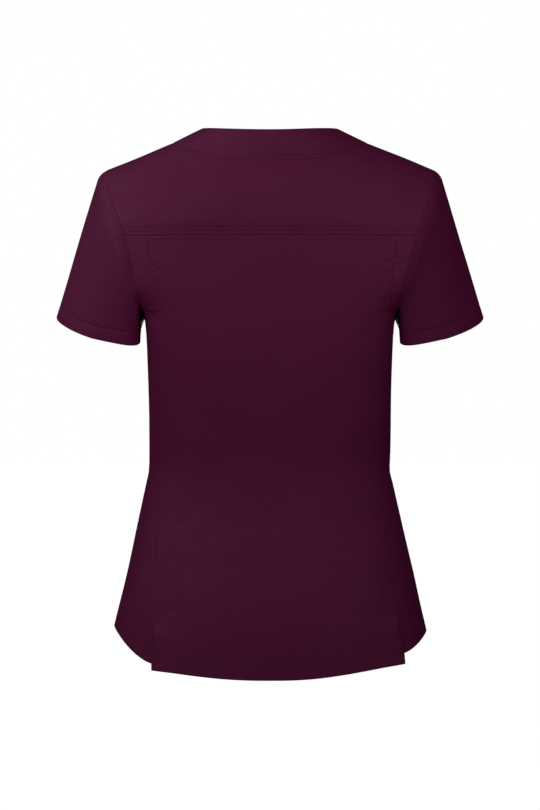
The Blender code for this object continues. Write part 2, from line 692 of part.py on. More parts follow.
def band_top(bearing):
    """The top edge of the neckband behind the shoulder seams."""
    x = BAND_HALF_WIDTH * np.sin(bearing)
    y = -BAND_BACK_DEPTH * np.cos(bearing)
    fall = (BAND_BACK_HEIGHT - BAND_SIDE_HEIGHT) * np.cos(bearing) ** 2
    return np.stack((x, y, BAND_SIDE_HEIGHT + fall), axis=-1)


def band_strip(seam, seam_normals, top):
    """A strip from the neck seam to the band's top edge."""
    share = np.linspace(0, 1, BAND_ACROSS + 1)[:, None, None]
    points = seam[None] * (1 - share) + top[None] * share
    along = np.gradient(points, axis=1)
    rise = (top - seam)[None] + 0 * points
    normals = unit(np.cross(along, rise))
    if np.sum(normals * seam_normals[None]) < 0:
        normals = -normals
    normals[0] = seam_normals
    normals[:, 0] = seam_normals[0]
    normals[:, -1] = seam_normals[-1]
    cloth = Cloth()
    cloth.patch(points, normals)
    return cloth


def neckband_back():
    bearings = np.linspace(-SEAM_BEARING, SEAM_BEARING, NECK_BACK_ACROSS + 1)
    x, turn = back_neck(bearings)
    return band_strip(over_shoulder(x, turn), outward(over_shoulder, x, turn), band_top(bearings))


def neckband_front(side):
    """From the shoulder seam down to the point of the V."""
    x, turn = front_neck(FRONT_RISE)
    start = band_top(np.array(SEAM_BEARING))
    fall = np.linspace(1, 0, FRONT_RISE + 1)
    z = start[2] + (BAND_FRONT_HEIGHT - start[2]) * fall
    top_x = start[0] * (1 - fall ** NECK_FRONT_POWER)
    y = start[1] + (BAND_FRONT_DEPTH - start[1]) * np.sin(fall * math.pi / 2) ** BAND_FRONT_ROUND
    top = np.stack((side * top_x, y, z), axis=-1)
    return band_strip(over_shoulder(side * x, turn),
                      outward(over_shoulder, side * x, turn), top)


def main():
    for old in list(bpy.data.objects):
        bpy.data.objects.remove(old)
    build_wall("back_yoke", back_yoke(), CLOTH["back_yoke"])
    build_wall("back_panel", back_panel(), CLOTH["back_panel"])
    build_wall("front_panel", front_panel(), CLOTH["front_panel"])
    build_wall("neckband_back", neckband_back(), CLOTH["neckband"])
    for side, word in ((-1, "left"), (1, "right")):
        build_wall("side_panel_" + word, side_panel(side), CLOTH["side_panel"])
        build_wall("sleeve_" + word, sleeve(side), CLOTH["sleeve"])
        build_wall("neckband_" + word, neckband_front(side), CLOTH["neckband"])


main()
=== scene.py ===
"""The looks of a women's scrub top: a thin cloth shell on each solid, its seams and its stitches.

Metres, +Z up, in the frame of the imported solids: the back faces -Y, and the origin lies between
the two points where the neckband meets the shoulders. The garment's form is worked out from the
same sizes as the solids, on finer rows and columns, and each piece of cloth is then raised and
lowered a little for its seams, hems, puckers and soft creases.
"""

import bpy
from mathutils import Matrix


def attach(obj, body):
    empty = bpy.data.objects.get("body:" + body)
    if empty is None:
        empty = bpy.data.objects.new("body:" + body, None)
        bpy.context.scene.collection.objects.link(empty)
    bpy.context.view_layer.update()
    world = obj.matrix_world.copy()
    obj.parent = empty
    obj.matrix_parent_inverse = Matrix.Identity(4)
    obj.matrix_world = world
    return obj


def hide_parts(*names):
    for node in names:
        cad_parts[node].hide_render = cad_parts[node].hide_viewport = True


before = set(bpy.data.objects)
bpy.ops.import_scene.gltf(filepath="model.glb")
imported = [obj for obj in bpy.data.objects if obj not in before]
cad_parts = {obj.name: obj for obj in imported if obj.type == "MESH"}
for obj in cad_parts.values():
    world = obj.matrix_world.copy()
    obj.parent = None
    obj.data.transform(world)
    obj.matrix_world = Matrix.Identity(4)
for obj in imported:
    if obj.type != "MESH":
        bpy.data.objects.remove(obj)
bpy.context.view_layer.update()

import math
from collections import namedtuple

import bpy
import numpy as np
from mathutils import Vector

# ------------------------------------------------------------------- the garment's driving sizes
RIDGE_TOP = 0.0539          # height of the shoulder line, carried on to the middle of the neck
RIDGE_SLOPE = 0.42          # fall of the shoulder line for each metre outwards
RIDGE_BLEND = 0.040
SHOULDER_ROUND = 0.120      # height over which the shoulder turns into the upright wall
SEAM_TURN = 0.12            # the shoulder seam lies this many radians in front of the ridge

YOKE_SEAM = -0.1185
UNDERARM = -0.216
FRONT_LEVEL = -0.165        # height where the V of the neck ends in the front panel

NECK_HALF_WIDTH = 0.1215
NECK_BACK_DROP = 0.0553
NECK_BACK_POWER = 2.2
NECK_FRONT_POWER = 1.20
BAND_HALF_WIDTH = 0.0843
BAND_BACK_DEPTH = 0.080
BAND_SIDE_HEIGHT = 0.0182
BAND_BACK_HEIGHT = 0.0118
BAND_FRONT_HEIGHT = -0.102
BAND_FRONT_DEPTH = 0.104
BAND_FRONT_ROUND = 0.8

CUFF_CENTRE = (0.2131, -0.006, -0.2300)
CUFF_HALF_WIDTH = 0.0553
CUFF_HALF_DEPTH = 0.0540
CUFF_LEAN = math.radians(17.6)
CUFF_TIP = math.radians(14.2)
CUFF_TURN = 0.50            # how far the cuff's outer side lies forward of its middle, for each metre
CUFF_POWER = {"outer": 2.0, "inner": 2.8}
CUFF_SHIFT = 0.12
CUFF_OVERHANG = 0.38
CUFF_RISE = 0.006
CUFF_RISE_POWER = 6
CUFF_INNER = 0.95
HEAD_EASE = 0.0100
ARMPIT_EASE = 0.0028
ARMPIT_BLEND = 0.045
ARMPIT_WAY = np.array([0.5, 0.0, -1.0])
FLUSH = 0.5                 # sleeve and body whose directions agree this well share one edge
VALLEY = -0.2

VENT_TOP = {-1: -0.585, 1: -0.575}
VENT_LIFT = 0.0036
VENT_LAP = 0.0050
VENT_EASE = 0.018
VENT_LAP_START = 0.028
VENT_LAP_EASE = 0.024
VENT_SPREAD = 0.030

HEM_SIDE = {-1: -0.5964, 1: -0.6025}
HEM_BACK_CENTRE = -0.6550
HEM_BACK_CORNER = {-1: -0.6450, 1: -0.6382}
HEM_SIDE_BACK = {-1: -0.6374, 1: -0.6259}
HEM_FRONT_CORNER = -0.6230
HEM_FRONT_CENTRE = -0.6300
HEM_CURVE = 1.40
HEM_POWER = 2.8
HEM_LEVEL = -0.63

# The form at each height: half its width, how deep it is behind and in front, and how square.
Section = namedtuple("Section", "height half_width back_depth front_depth back_power front_power")
SECTIONS = [Section(*row) for row in (
    (0.060, 0.2500, 0.1010, 0.0840, 3.20, 2.10),
    (0.000, 0.2500, 0.1020, 0.0900, 3.30, 2.10),
    (-0.050, 0.2427, 0.1030, 0.0980, 3.60, 2.10),
    (-0.080, 0.2330, 0.1035, 0.1040, 3.90, 2.10),
    (-0.118, 0.2190, 0.1040, 0.1130, 4.60, 2.15),
    (-0.150, 0.2030, 0.1040, 0.1200, 5.40, 2.20),
    (-0.180, 0.1840, 0.1035, 0.1255, 6.00, 2.30),
    (-0.200, 0.1645, 0.1030, 0.1280, 6.20, 2.40),
    (-0.216, 0.1545, 0.1025, 0.1290, 6.00, 2.50),
    (-0.250, 0.1515, 0.1005, 0.1280, 5.00, 2.50),
    (-0.315, 0.1496, 0.0950, 0.1180, 3.70, 2.45),
    (-0.360, 0.1492, 0.0910, 0.1090, 3.20, 2.40),
    (-0.392, 0.1490, 0.0888, 0.1030, 2.90, 2.40),
    (-0.405, 0.1497, 0.0885, 0.1020, 2.82, 2.38),
    (-0.418, 0.1523, 0.0887, 0.1022, 2.75, 2.36),
    (-0.450, 0.1592, 0.0915, 0.1040, 2.62, 2.34),
    (-0.500, 0.1705, 0.1005, 0.1085, 2.50, 2.32),
    (-0.560, 0.1846, 0.1125, 0.1140, 2.40, 2.30),
    (-0.600, 0.1938, 0.1190, 0.1165, 2.35, 2.30),
    (-0.680, 0.2100, 0.1280, 0.1190, 2.30, 2.30),
)]

# How far from the middle the armhole lies.
Armhole = namedtuple("Armhole", "height half_across")
ARMHOLE = [Armhole(*row) for row in (
    (0.000, 0.2060),
    (-0.032, 0.2018),
    (-0.068, 0.1948),
    (-0.096, 0.1838),
    (-0.1185, 0.1757),
    (-0.145, 0.1685),
    (-0.170, 0.1625),
    (-0.205, 0.1560),
    (-0.216, 0.1545),
)]

# And the princess seams.
PrincessSeam = namedtuple("PrincessSeam", "height left_back right_back front")
PRINCESS = [PrincessSeam(*row) for row in (
    (-0.1185, 0.1475, 0.1565, 0.1500),
    (-0.136, 0.1450, 0.1528, 0.1470),
    (-0.165, 0.1430, 0.1495, 0.1420),
    (-0.195, 0.1415, 0.1470, 0.1360),
    (-0.232, 0.1402, 0.1440, 0.1300),
    (-0.281, 0.1382, 0.1412, 0.1240),
    (-0.400, 0.1380, 0.1405, 0.1180),
    (-0.500, 0.1410, 0.1465, 0.1270),
    (-0.580, 0.1400, 0.1540, 0.1390),
    (-0.660, 0.1374, 0.1600, 0.1500),
)]
FRONT_SEAM_TOP = 0.160
FRONT_SEAM_BEND = 1.5
UNDER_NECK = 0.80

SIDES = {-1: "left", 1: "right"}
EDGE_COLUMN = {-1: 0, 1: -1}    # the first and the last column of the back panel
SHOWN = "cloth_"            # what the shell that stands for a node is called, before its name

# ------------------------------------------------------------------------- cloth and sewing sizes
CLOTH_THICKNESS = 0.0008
FOLDED = 0.0016             # a hem or the neckband, where the cloth is doubled
HEM_WIDTH = 0.0127          # from the edge to the hem's stitches, round the bottom
CUFF_HEM = 0.0158           # the same round the sleeves
HEM_GROOVE = 0.00010        # how deep the hem's stitches pull the cloth in
TURNING = 0.0022            # the hem's raw edge lies this far beyond its stitches, inside
TOPSTITCH = 0.0058          # from a seam to the stitches that hold its allowance
YOKE_ROWS = (0.0052, 0.0097)    # two rows of stitches above the yoke seam
YOKE_PHASES = (0.4, 2.9)
YOKE_ALLOWANCE = 0.0190
YOKE_FALL = 0.0016          # how far the yoke sinks over its stitched allowance
PRINCESS_ROW = 0.0052

SEAM_ROUND = 0.0017         # the width over which the cloth dives into a seam
SOFT_SEAM = 0.0003          # the depth of a seam that is only a soft valley
VALLEY_WIDTH = 0.0016
CRACK = 0.0004              # how deep the cloth dives where two pieces meet in the neck seam
EDGE_DEPTH = 0.0004         # how far it turns down at a folded edge
EDGE_ROUND = 0.0009
GROOVE_DEPTH = 0.00040      # how deep a row of stitches pulls the cloth in
GROOVE_WIDTH = 0.0010
YOKE_GROOVE = 0.00030
BACK_GROOVE = 0.00008
FRONT_GROOVE = 0.00015
CUFF_GROOVE = (0.00038, 0.0017)     # its depth and width
NECK_GROOVE = 0.0001
PLAIN_GROOVE = 0.0009       # what is added where the neck seam is plain
NECK_GROOVE_WIDTH = 0.0013
NECK_ALLOWANCE = TOPSTITCH - 0.001
NECK_FALL = 0.0004          # how far the cloth sinks over it
NECK_EASE = 0.0045
YOKE_PUCKERS = 0.010        # the yoke puckers on both sides of this line
CUFF_COURSE = 0.35          # the length that puckers take the cuff to have, all round
# How deep the cloth turns down, and over what width.
YOKE_TURN = (0.0011, 0.0012)
UNDER_YOKE_TURN = (0.0009, 0.0019)
ARMHOLE_TURN = (0.0002, 0.0007)
# How high it then stands up, how far from the seam and how wide.
UNDER_YOKE_LIP = (0.0003, 0.0024, 0.0018)
VENT_LIP = (0.0003, 0.0022, 0.0014)
UNDERARM_LIP = 0.0002
# Puckers beside the other seams: their height, how far they reach and where they start.
PUCKERING = {
    "yoke": (0.00008, 0.007, 0.9),
    "neck": (0.00010, 0.008, 2.2),
    "below_yoke": (0.00010, 0.006, 3.1),
    "front_neck": (0.00012, 0.008, 2.9),
    "underarm_left": (0.00015, 0.009, 4.0),
    "underarm_right": (0.00015, 0.009, 6.0),
    "cuff": (0.00010, 0.010, 1.1),
}
ROUNDNESS = 0.98            # of the turn into a seam or over an edge: 1 is a quarter of a circle
RIDGE_AT = 0.0026           # the raised cloth beside a long seam lies this far from it
RIDGE_WIDTH = 0.0015
LIP_WIDTH = 0.0022
PUCKER_REACH = 0.011        # how far from a long seam its puckers reach
SHUT_EASE = 0.006           # the height over which a vent's seam opens
ARM_EASE = 0.004            # the height over which a side panel's edge becomes the armhole's

# Beside the armhole the left sleeve's cloth drops and comes back up further out, most of all low
# down. The right sleeve's cloth, given here as a drop below zero, starts high and falls away. The
# body's cloth is lifted there by its seam allowances, and low down by the arm inside.
SLEEVE_STEP = 0.0009        # the width over which a sleeve drops
SLEEVE_RETURN = 0.015       # and over which it comes back up
SLEEVE_FALL = 0.012         # the width over which a raised sleeve falls
Sinking = namedtuple("Sinking", "height left right left_lift right_lift")
SINKING = [Sinking(*row) for row in (
    (-0.030, 0.0004, -0.0002, 0.0000, 0.0002),
    (-0.060, 0.0012, -0.0010, 0.0001, 0.0010),
    (-0.100, 0.0032, -0.0020, 0.0002, 0.0020),
    (-0.130, 0.0056, -0.0026, 0.0003, 0.0026),
    (-0.160, 0.0056, -0.0030, 0.0009, 0.0030),
    (-0.185, 0.0020, -0.0028, 0.0016, 0.0028),
    (-0.205, 0.0008, -0.0014, 0.0012, 0.0014),
    (-0.216, 0.0004, 0.0000, 0.0000, 0.0000),
)]
ARMHOLE_LIFT_WIDTH = 0.0110
ALLOWANCE_REACH = 0.0004    # inside a seam each piece's cloth reaches on by this much
ALLOWANCE_DEPTH = 0.0014    # and is this much thicker
BAND_TUCK = 0.0014          # how far the neckband reaches in under the seam that holds it
NECK_SEAM_SHARP = 0.045     # the neck seam is plain up to here from the middle, and then fades
NECK_SEAM_FADE = 0.045

THREAD = 0.00036
STITCH = 0.0026
STITCH_PITCH = 0.0031
STITCH_SIDES = 6
STITCH_STEPS = 5
STITCH_JITTER = 0.04        # how unevenly stitches start, as a share of their pitch
STITCH_TAPER = 0.55         # how thick a stitch is at its ends, as a share of its middle
STITCH_ARCH = 0.95          # how far its middle stands up, in radii
STITCH_SINK = 0.75          # and how far its ends go down
TACK_PITCH = 0.00042
TACK_LIFT = 0.00045
TACK_THREAD = 0.62          # a tack's threads are this share of the others' thickness
TACK_RISE = 0.35            # and lie this share of a thread higher
TACK_JITTER = 0.08
# Where each part's random draws start.
SEEDS = {
    "stitches_yoke": 11,
    "stitches_back": 12,
    "tacks_back": 13,
    "stitches_side_left": 19,
    "stitches_side_right": 21,
    "stitches_front": 31,
    "stitches_sleeve_left": 39,
    "stitches_sleeve_right": 41,
}

# Bar tacks on the back's long seams: the height, how far they start inside the panel, which way
# they lean, and how long and wide they are.
Tack = namedtuple("Tack", "height inward lean length width")
TACKS = {
    -1: (Tack(-0.1254, -0.0014, 0.0, 0.0034, 0.0022),
         Tack(-0.5700, 0.0014, -0.85, 0.0070, 0.0016),
         Tack(-0.5680, 0.0082, -0.85, 0.0064, 0.0013)),
    1: (Tack(-0.1236, -0.0012, 0.0, 0.0030, 0.0018),
        Tack(-0.5660, 0.0010, -0.60, 0.0050, 0.0014)),
}

# How far apart rows and columns of points lie.
FINE_STEP = 0.00085
COARSE_STEP = 0.0040
ROW_STEP = 0.0027
PUCKER_STEP = 0.0016        # where the back's long seams pucker most
STEP_RAMP = 0.012
EDGE_ZONE = 0.0030
SEAM_ZONE = 0.0085
HEM_ZONE = 0.0170
CUFF_ZONE = 0.0200
YOKE_ZONE = 0.0170
DENSE = 2000

# About how long the runs of rows or columns are that get closer together at their ends.
YOKE_RUN = 0.150
SHOULDER_RUN = 0.085
BODY_RUN = 0.430
BACK_RUN = 0.300
BACK_TOP_RUN = 0.0975
HORN_RUN = {"back": 0.150, "front": 0.100}
SIDE_RUN = {"back": 0.105, "front": 0.125}
HALF_FRONT_RUN = 0.165
UNDER_V_RUN = 0.0510
BESIDE_V_RUN = 0.200
SLEEVE_RUN = 0.140
BAND_RUN = 0.040
# Numbers of points where they lie evenly.
NECK_POINTS = 81
BAND_BACK_POINTS = 121
BAND_FRONT_POINTS = 91
LOOP_POINTS = {"yoke": 51, "back": 46, "front": 31, "shoulder": 56}
HEAD_POINTS = 26
HEAD_SPACING = 1.5          # the power that draws the head's rows together at the armhole
WING = 0.2                  # the share of the yoke's columns that each shoulder takes

HEART = np.array([0.0, 0.0, -0.30])     # a point inside, that every outward direction leaves
SETTLE = 30
NUDGE = 1e-5                # the step that finds a direction on the form
SLACK = 1e-9


# ------------------------------------------------------------------------------- the whole form
def smooth_curve(table, column):
    """A smooth curve through one column of a table, against height, that never overshoots."""
    rows = sorted(table)
    xs = np.array([row.height for row in rows])
    ys = np.array([getattr(row, column) for row in rows])
    steps = np.diff(xs)
    slopes = np.diff(ys) / steps
    tangents = np.zeros(len(xs))
    tangents[0] = slopes[0]
    tangents[-1] = slopes[-1]
    for i in range(1, len(xs) - 1):
        if slopes[i - 1] * slopes[i] > 0:
            before = 2 * steps[i] + steps[i - 1]
            after = steps[i] + 2 * steps[i - 1]
            tangents[i] = (before + after) / (before / slopes[i - 1] + after / slopes[i])

    def value(height):
        height = np.clip(height, xs[0], xs[-1])
        i = np.clip(np.searchsorted(xs, height) - 1, 0, len(xs) - 2)
        t = (height - xs[i]) / steps[i]
        rise = (3 - 2 * t) * t * t
        lead = t * (1 - t) ** 2 * tangents[i] - t * t * (1 - t) * tangents[i + 1]
        return ys[i] + rise * (ys[i + 1] - ys[i]) + lead * steps[i]

    return value


half_width, back_depth, front_depth, back_power, front_power = (
    smooth_curve(SECTIONS, column) for column in Section._fields[1:])
armhole_across = smooth_curve(ARMHOLE, "half_across")
princess_across = {
    (face, side): smooth_curve(PRINCESS, "front" if face == "front" else SIDES[side] + "_back")
    for face in ("back", "front") for side in SIDES
}


def smooth_step(t):
    t = np.clip(t, 0, 1)
    return t * t * (3 - 2 * t)


def unit(vectors):
    return vectors / np.linalg.norm(vectors, axis=-1, keepdims=True)


def vectors(*parts):
    """Arrays of x, y and z, or of other values, as one array of vectors."""
    return np.stack(np.broadcast_arrays(*parts), axis=-1)


def ridge_height(x):
    return RIDGE_TOP - RIDGE_SLOPE * np.sqrt(x * x + RIDGE_BLEND ** 2)


def turn_at(x, height):
    """How far the form has turned over the shoulder, in radians, at this height."""
    drop = (ridge_height(x) - height) / SHOULDER_ROUND
    return np.where(drop < 1, np.arccos(1 - np.clip(drop, 0, 1)), math.pi / 2 + drop - 1)


def face_shape(z, behind):
    """The form's depth and power at a height, behind or in front."""
    return (np.where(behind, back_depth(z), front_depth(z)),
            np.where(behind, back_power(z), front_power(z)))


def depth_at(x, z, behind):
    """How far the form lies behind or in front of its middle, at x across."""
    depth, power = face_shape(z, behind)
    across = np.clip(np.abs(x) / half_width(z), 0, 1)
    return depth * (1 - across ** power) ** (1 / power)


def over_shoulder(x, turn):
    """A point of the form: turn is 0 on the shoulder line, negative behind, positive in front."""
    x = np.asarray(x, float)
    turn = np.asarray(turn, float)
    bend = np.abs(turn)
    rounded = bend < math.pi / 2
    drop = SHOULDER_ROUND * np.where(rounded, 1 - np.cos(bend), 1 + bend - math.pi / 2)
    z = ridge_height(x) - drop
    reach = np.where(rounded, np.sin(bend), 1.0)
    y = np.where(turn < 0, -1, 1) * depth_at(x, z, turn < 0) * reach
    return vectors(x, y, z)


def around(angle, z):
    """A point of the form: angle is 0 at centre back, a quarter turn at +X, a half at the front."""
    angle = np.asarray(angle, float)
    z = np.asarray(z, float)
    depth, power = face_shape(z, np.cos(angle) > 0)
    sine = np.abs(np.sin(angle)) / half_width(z)
    cosine = np.abs(np.cos(angle)) / depth
    radius = (sine ** power + cosine ** power) ** (-1 / power)
    x = radius * np.sin(angle)
    bend = np.minimum(turn_at(x, z), math.pi / 2)
    y = -radius * np.cos(angle) * np.sin(bend)
    return vectors(x, y, z)


def angle_of(x, z, face):
    """The angle at which the form is x from the middle, on its back or its front."""
    y = depth_at(x, z, face == "back")
    return np.arctan2(x, y if face == "back" else -y)


def placed(form, first, second):
    """Points of the form at (first, second), and its outward directions there."""
    along = form(first + NUDGE, second) - form(first - NUDGE, second)
    across = form(first, second + NUDGE) - form(first, second - NUDGE)
    normals = unit(np.cross(along, across))
    points = form(first, second)
    facing = np.sum(normals * (points - HEART), axis=-1, keepdims=True)
    return points, np.where(facing < 0, -normals, normals)


def placed_over(flat):
    """The same for an array of values of (x, turn)."""
    return placed(over_shoulder, flat[..., 0], flat[..., 1])


# ---------------------------------------------------------------------------- rows and columns
def graded(length, first_zone, last_zone, coarse=COARSE_STEP):
    """Shares from 0 to 1 along a length, close together within a zone at each end."""
    s = np.linspace(0, length, DENSE)
    inside = np.minimum(s - first_zone, length - last_zone - s)
    step = FINE_STEP + (coarse - FINE_STEP) * smooth_step(inside / STEP_RAMP)
    run = np.concatenate(([0.0], np.cumsum(np.diff(s) / step[1:])))
    marks = np.linspace(0, run[-1], math.ceil(run[-1]) + 1)
    return np.interp(marks, run, s) / length


def run_along(points, axis=0):
    """How far each point lies from the start of its column or row."""
    steps = np.linalg.norm(np.diff(points, axis=axis), axis=-1)
    return np.insert(np.cumsum(steps, axis=axis), 0, 0.0, axis=axis)


def evenly(xs, turns, shares):
    """Thin a dense curve on the form to points at these shares of its length."""
    run = run_along(over_shoulder(xs, turns))
    marks = shares * run[-1]
    return np.interp(marks, run, xs), np.interp(marks, run, turns)


def fan_heights(low, high, shares):
    """Heights from low to high, close together where the armhole turns under the arm."""
    last = math.acos(1 - (high - low) / (YOKE_SEAM - UNDERARM))
    return low + (YOKE_SEAM - UNDERARM) * (1 - np.cos(last * shares))


def armhole_curve(face, low, shares):
    """The armhole from height low up to the shoulder seam, as (x, turn), for the +X side."""
    start = float(turn_at(armhole_across(low), low))
    turns = np.linspace(-start if face == "back" else start, SEAM_TURN, DENSE)
    xs = np.full(turns.shape, float(armhole_across(0)))
    for _ in range(SETTLE):
        xs = armhole_across(over_shoulder(xs, turns)[:, 2])
    return evenly(xs, turns, shares)


def back_neck(bearing):
    """The neck seam at the back as (x, turn); bearing is 0 at centre back, signed like x."""
    facing = np.cos(bearing)
    drop = NECK_BACK_DROP * np.abs(facing) ** NECK_BACK_POWER
    turn = np.arccos(1 - drop / SHOULDER_ROUND)
    return NECK_HALF_WIDTH * np.sin(bearing), -np.sign(facing) * turn


SEAM_DROP = SHOULDER_ROUND * (1 - math.cos(SEAM_TURN))
SEAM_BEARING = math.pi / 2 + math.asin((SEAM_DROP / NECK_BACK_DROP) ** (1 / NECK_BACK_POWER))
SEAM_NECK_X = NECK_HALF_WIDTH * math.sin(SEAM_BEARING)
SEAM_NECK_Z = float(ridge_height(SEAM_NECK_X)) - SEAM_DROP


def front_neck(shares):
    """The neck seam at the front, from the V up to the shoulder seam, as (x, turn) at +X."""
    z = np.linspace(FRONT_LEVEL, SEAM_NECK_Z, DENSE)
    fall = (SEAM_NECK_Z - z) / (SEAM_NECK_Z - FRONT_LEVEL)
    x = SEAM_NECK_X * (1 - fall ** NECK_FRONT_POWER)
    return evenly(x, turn_at(x, z), shares)


def front_princess_top(shares):
    """The front princess seam from the V's level up to the shoulder seam, as (x, turn)."""
    low_x = float(princess_across["front", 1](FRONT_LEVEL))
    low_turn = float(turn_at(low_x, FRONT_LEVEL))
    t = np.linspace(0, 1, DENSE)
    x = low_x + (FRONT_SEAM_TOP - low_x) * t ** FRONT_SEAM_BEND
    return evenly(x, low_turn + (SEAM_TURN - low_turn) * t, shares)


def hem_at(angle, side, piece):
    """Height of the hem of one piece at an angle round the body."""
    angle = np.abs(angle)
    quarter = math.pi / 2
    seam_back = angle_of(princess_across["back", side](HEM_LEVEL), HEM_LEVEL, "back")
    seam_front = angle_of(princess_across["front", side](HEM_LEVEL), HEM_LEVEL, "front")
    if piece == "side":
        top = HEM_SIDE[side]
        back = np.clip((quarter - angle) / (quarter - seam_back), 0, 1)
        front = np.clip((angle - quarter) / (seam_front - quarter), 0, 1)
        back_fall = (HEM_SIDE_BACK[side] - top) * smooth_step(back ** HEM_CURVE)
        front_fall = (HEM_FRONT_CORNER - top) * smooth_step(front ** HEM_CURVE)
        return top + back_fall + front_fall
    if piece == "back":
        centre, corner, seam = HEM_BACK_CENTRE, HEM_BACK_CORNER[side], seam_back
    else:
        centre, corner, seam = HEM_FRONT_CENTRE, HEM_FRONT_CORNER, seam_front
    share = np.sin(angle) / np.sin(seam)
    return centre + (corner - centre) * np.abs(share) ** HEM_POWER


def seam_angle(face, side):
    """The angle of a princess seam as a function of height."""
    def value(z):
        return side * angle_of(princess_across[face, side](z), z, face)
    return value


def horn_edge(face, side):
    """The angle of the armhole as a function of height, and of the side below the underarm."""
    def value(z):
        angle = angle_of(armhole_across(z), z, face)
        return side * np.where(z <= UNDERARM + SLACK, math.pi / 2, angle)
    return value


def coons(bottom, top, left, right, across, up):
    """Fill the space between four edges, each an array of values in the same two coordinates."""
    s = across[None, :, None]
    t = up[:, None, None]
    spread = (1 - t) * bottom[None] + t * top[None]
    rise = (1 - s) * left[:, None] + s * right[:, None]
    corners = ((1 - s) * (1 - t) * bottom[0] + s * (1 - t) * bottom[-1]
               + (1 - s) * t * top[0] + s * t * top[-1])
    return spread + rise - corners


class Grid:
    """Rows and columns of points on the form, their outward directions and edge distances."""

    def __init__(self, points, normals):
        self.points = points
        self.normals = normals
        self.from_left = run_along(points, 1)
        self.from_right = self.from_left[:, -1:] - self.from_left
        self.from_bottom = run_along(points)
        self.from_top = self.from_bottom[-1:] - self.from_bottom
        self.rise = undulation(points)
        self.thickness = np.full(points.shape[:2], CLOTH_THICKNESS)

    def raised(self):
        return self.points + self.rise[..., None] * self.normals


# --------------------------------------------------------------------------- how the cloth lies
# Long soft waves in the cloth: how they run, how long and high they are, and where they start.
Wave = namedtuple("Wave", "x y z length height phase")
WAVES = [Wave(*row) for row in (
    (1.0, 0.3, 0.15, 0.115, 0.00022, 0.4),
    (0.9, -0.4, -0.35, 0.083, 0.00016, 2.1),
    (0.3, 0.9, 0.45, 0.097, 0.00018, 4.4),
    (0.2, 0.5, 1.0, 0.142, 0.00020, 1.3),
    (-0.5, 0.6, 0.8, 0.061, 0.00009, 5.2),
    (0.8, 0.8, 0.1, 0.047, 0.00006, 3.3),
)]

# Soft creases: the face they lie on, their two ends, half their width and their depth. On the
# back and front, across is x, and on the sides it is y.
Crease = namedtuple("Crease", "face across1 height1 across2 height2 width depth")
CREASES = [Crease(*row) for row in (
    ("back", -0.118, -0.520, -0.136, -0.590, 0.0050, 0.0010),
    ("back", -0.108, -0.566, -0.131, -0.578, 0.0035, 0.0007),
    ("back", -0.122, -0.545, -0.098, -0.612, 0.0090, 0.0006),
    ("back", -0.060, -0.618, -0.018, -0.634, 0.0080, 0.0004),
    ("back", 0.128, -0.335, 0.092, -0.405, 0.0120, 0.0006),
    ("back", 0.126, -0.215, 0.100, -0.262, 0.0090, 0.0005),
    ("back", -0.118, -0.190, -0.096, -0.250, 0.0100, 0.0005),
    ("back", 0.090, -0.430, 0.128, -0.520, 0.0130, 0.0006),
    ("back", -0.085, -0.410, -0.120, -0.500, 0.0140, 0.0006),
    ("back", 0.030, -0.150, 0.046, -0.205, 0.0150, 0.0004),
    ("front", -0.105, -0.190, -0.060, -0.236, 0.0110, 0.0011),
    ("front", 0.112, -0.175, 0.052, -0.228, 0.0100, 0.0012),
    ("front", 0.098, -0.215, 0.050, -0.262, 0.0120, 0.0008),
    ("front", -0.095, -0.395, -0.050, -0.420, 0.0100, 0.0007),
    ("front", 0.102, -0.385, 0.060, -0.425, 0.0110, 0.0008),
    ("front", -0.060, -0.500, -0.078, -0.600, 0.0160, 0.0010),
    ("front", 0.034, -0.480, 0.050, -0.605, 0.0180, 0.0009),
    ("front", 0.105, -0.520, 0.118, -0.610, 0.0140, 0.0008),
    ("left", -0.020, -0.250, 0.024, -0.310, 0.0100, 0.0008),
    ("left", 0.036, -0.395, -0.010, -0.430, 0.0110, 0.0009),
    ("left", -0.030, -0.470, -0.042, -0.580, 0.0160, 0.0010),
    ("right", 0.018, -0.245, -0.028, -0.300, 0.0100, 0.0008),
    ("right", -0.036, -0.390, 0.020, -0.425, 0.0110, 0.0009),
    ("right", 0.026, -0.480, 0.044, -0.590, 0.0160, 0.0010),
)]
CREASE_TAPER = 0.35         # the share of a crease's length over which each end fades
CREASE_BOW = 0.12           # it bows aside by a quarter of this share of its length
FACE_AXES = {"back": (0, 1, -1), "front": (0, 1, 1), "left": (1, 0, -1), "right": (1, 0, 1)}


def crease_depth(points, crease):
    """How far one crease lowers each point."""
    across_axis, facing_axis, sign = FACE_AXES[crease.face]
    place = vectors(points[..., across_axis], points[..., 2])
    start = np.array([crease.across1, crease.height1])
    way = np.array([crease.across2, crease.height2]) - start
    length = np.linalg.norm(way)
    way /= length
    along = (place - start) @ way / length
    beside = (place - start) @ np.array([-way[1], way[0]])
    bow = CREASE_BOW * length * (0.25 - (along - 0.5) ** 2)
    ends = smooth_step(along / CREASE_TAPER) * smooth_step((1 - along) / CREASE_TAPER)
    ours = points[..., facing_axis] * sign > 0
    return crease.depth * ends * np.exp(-((beside - bow) / crease.width) ** 2) * ours


def undulation(points):
    """Height of the soft waves and creases at points of the form."""
    rise = np.zeros(points.shape[:-1])
    for wave in WAVES:
        way = unit(np.array([wave.x, wave.y, wave.z]))
        rise += wave.height * np.sin(2 * math.pi * (points @ way) / wave.length + wave.phase)
    for crease in CREASES:
        rise -= crease_depth(points, crease)
    return rise


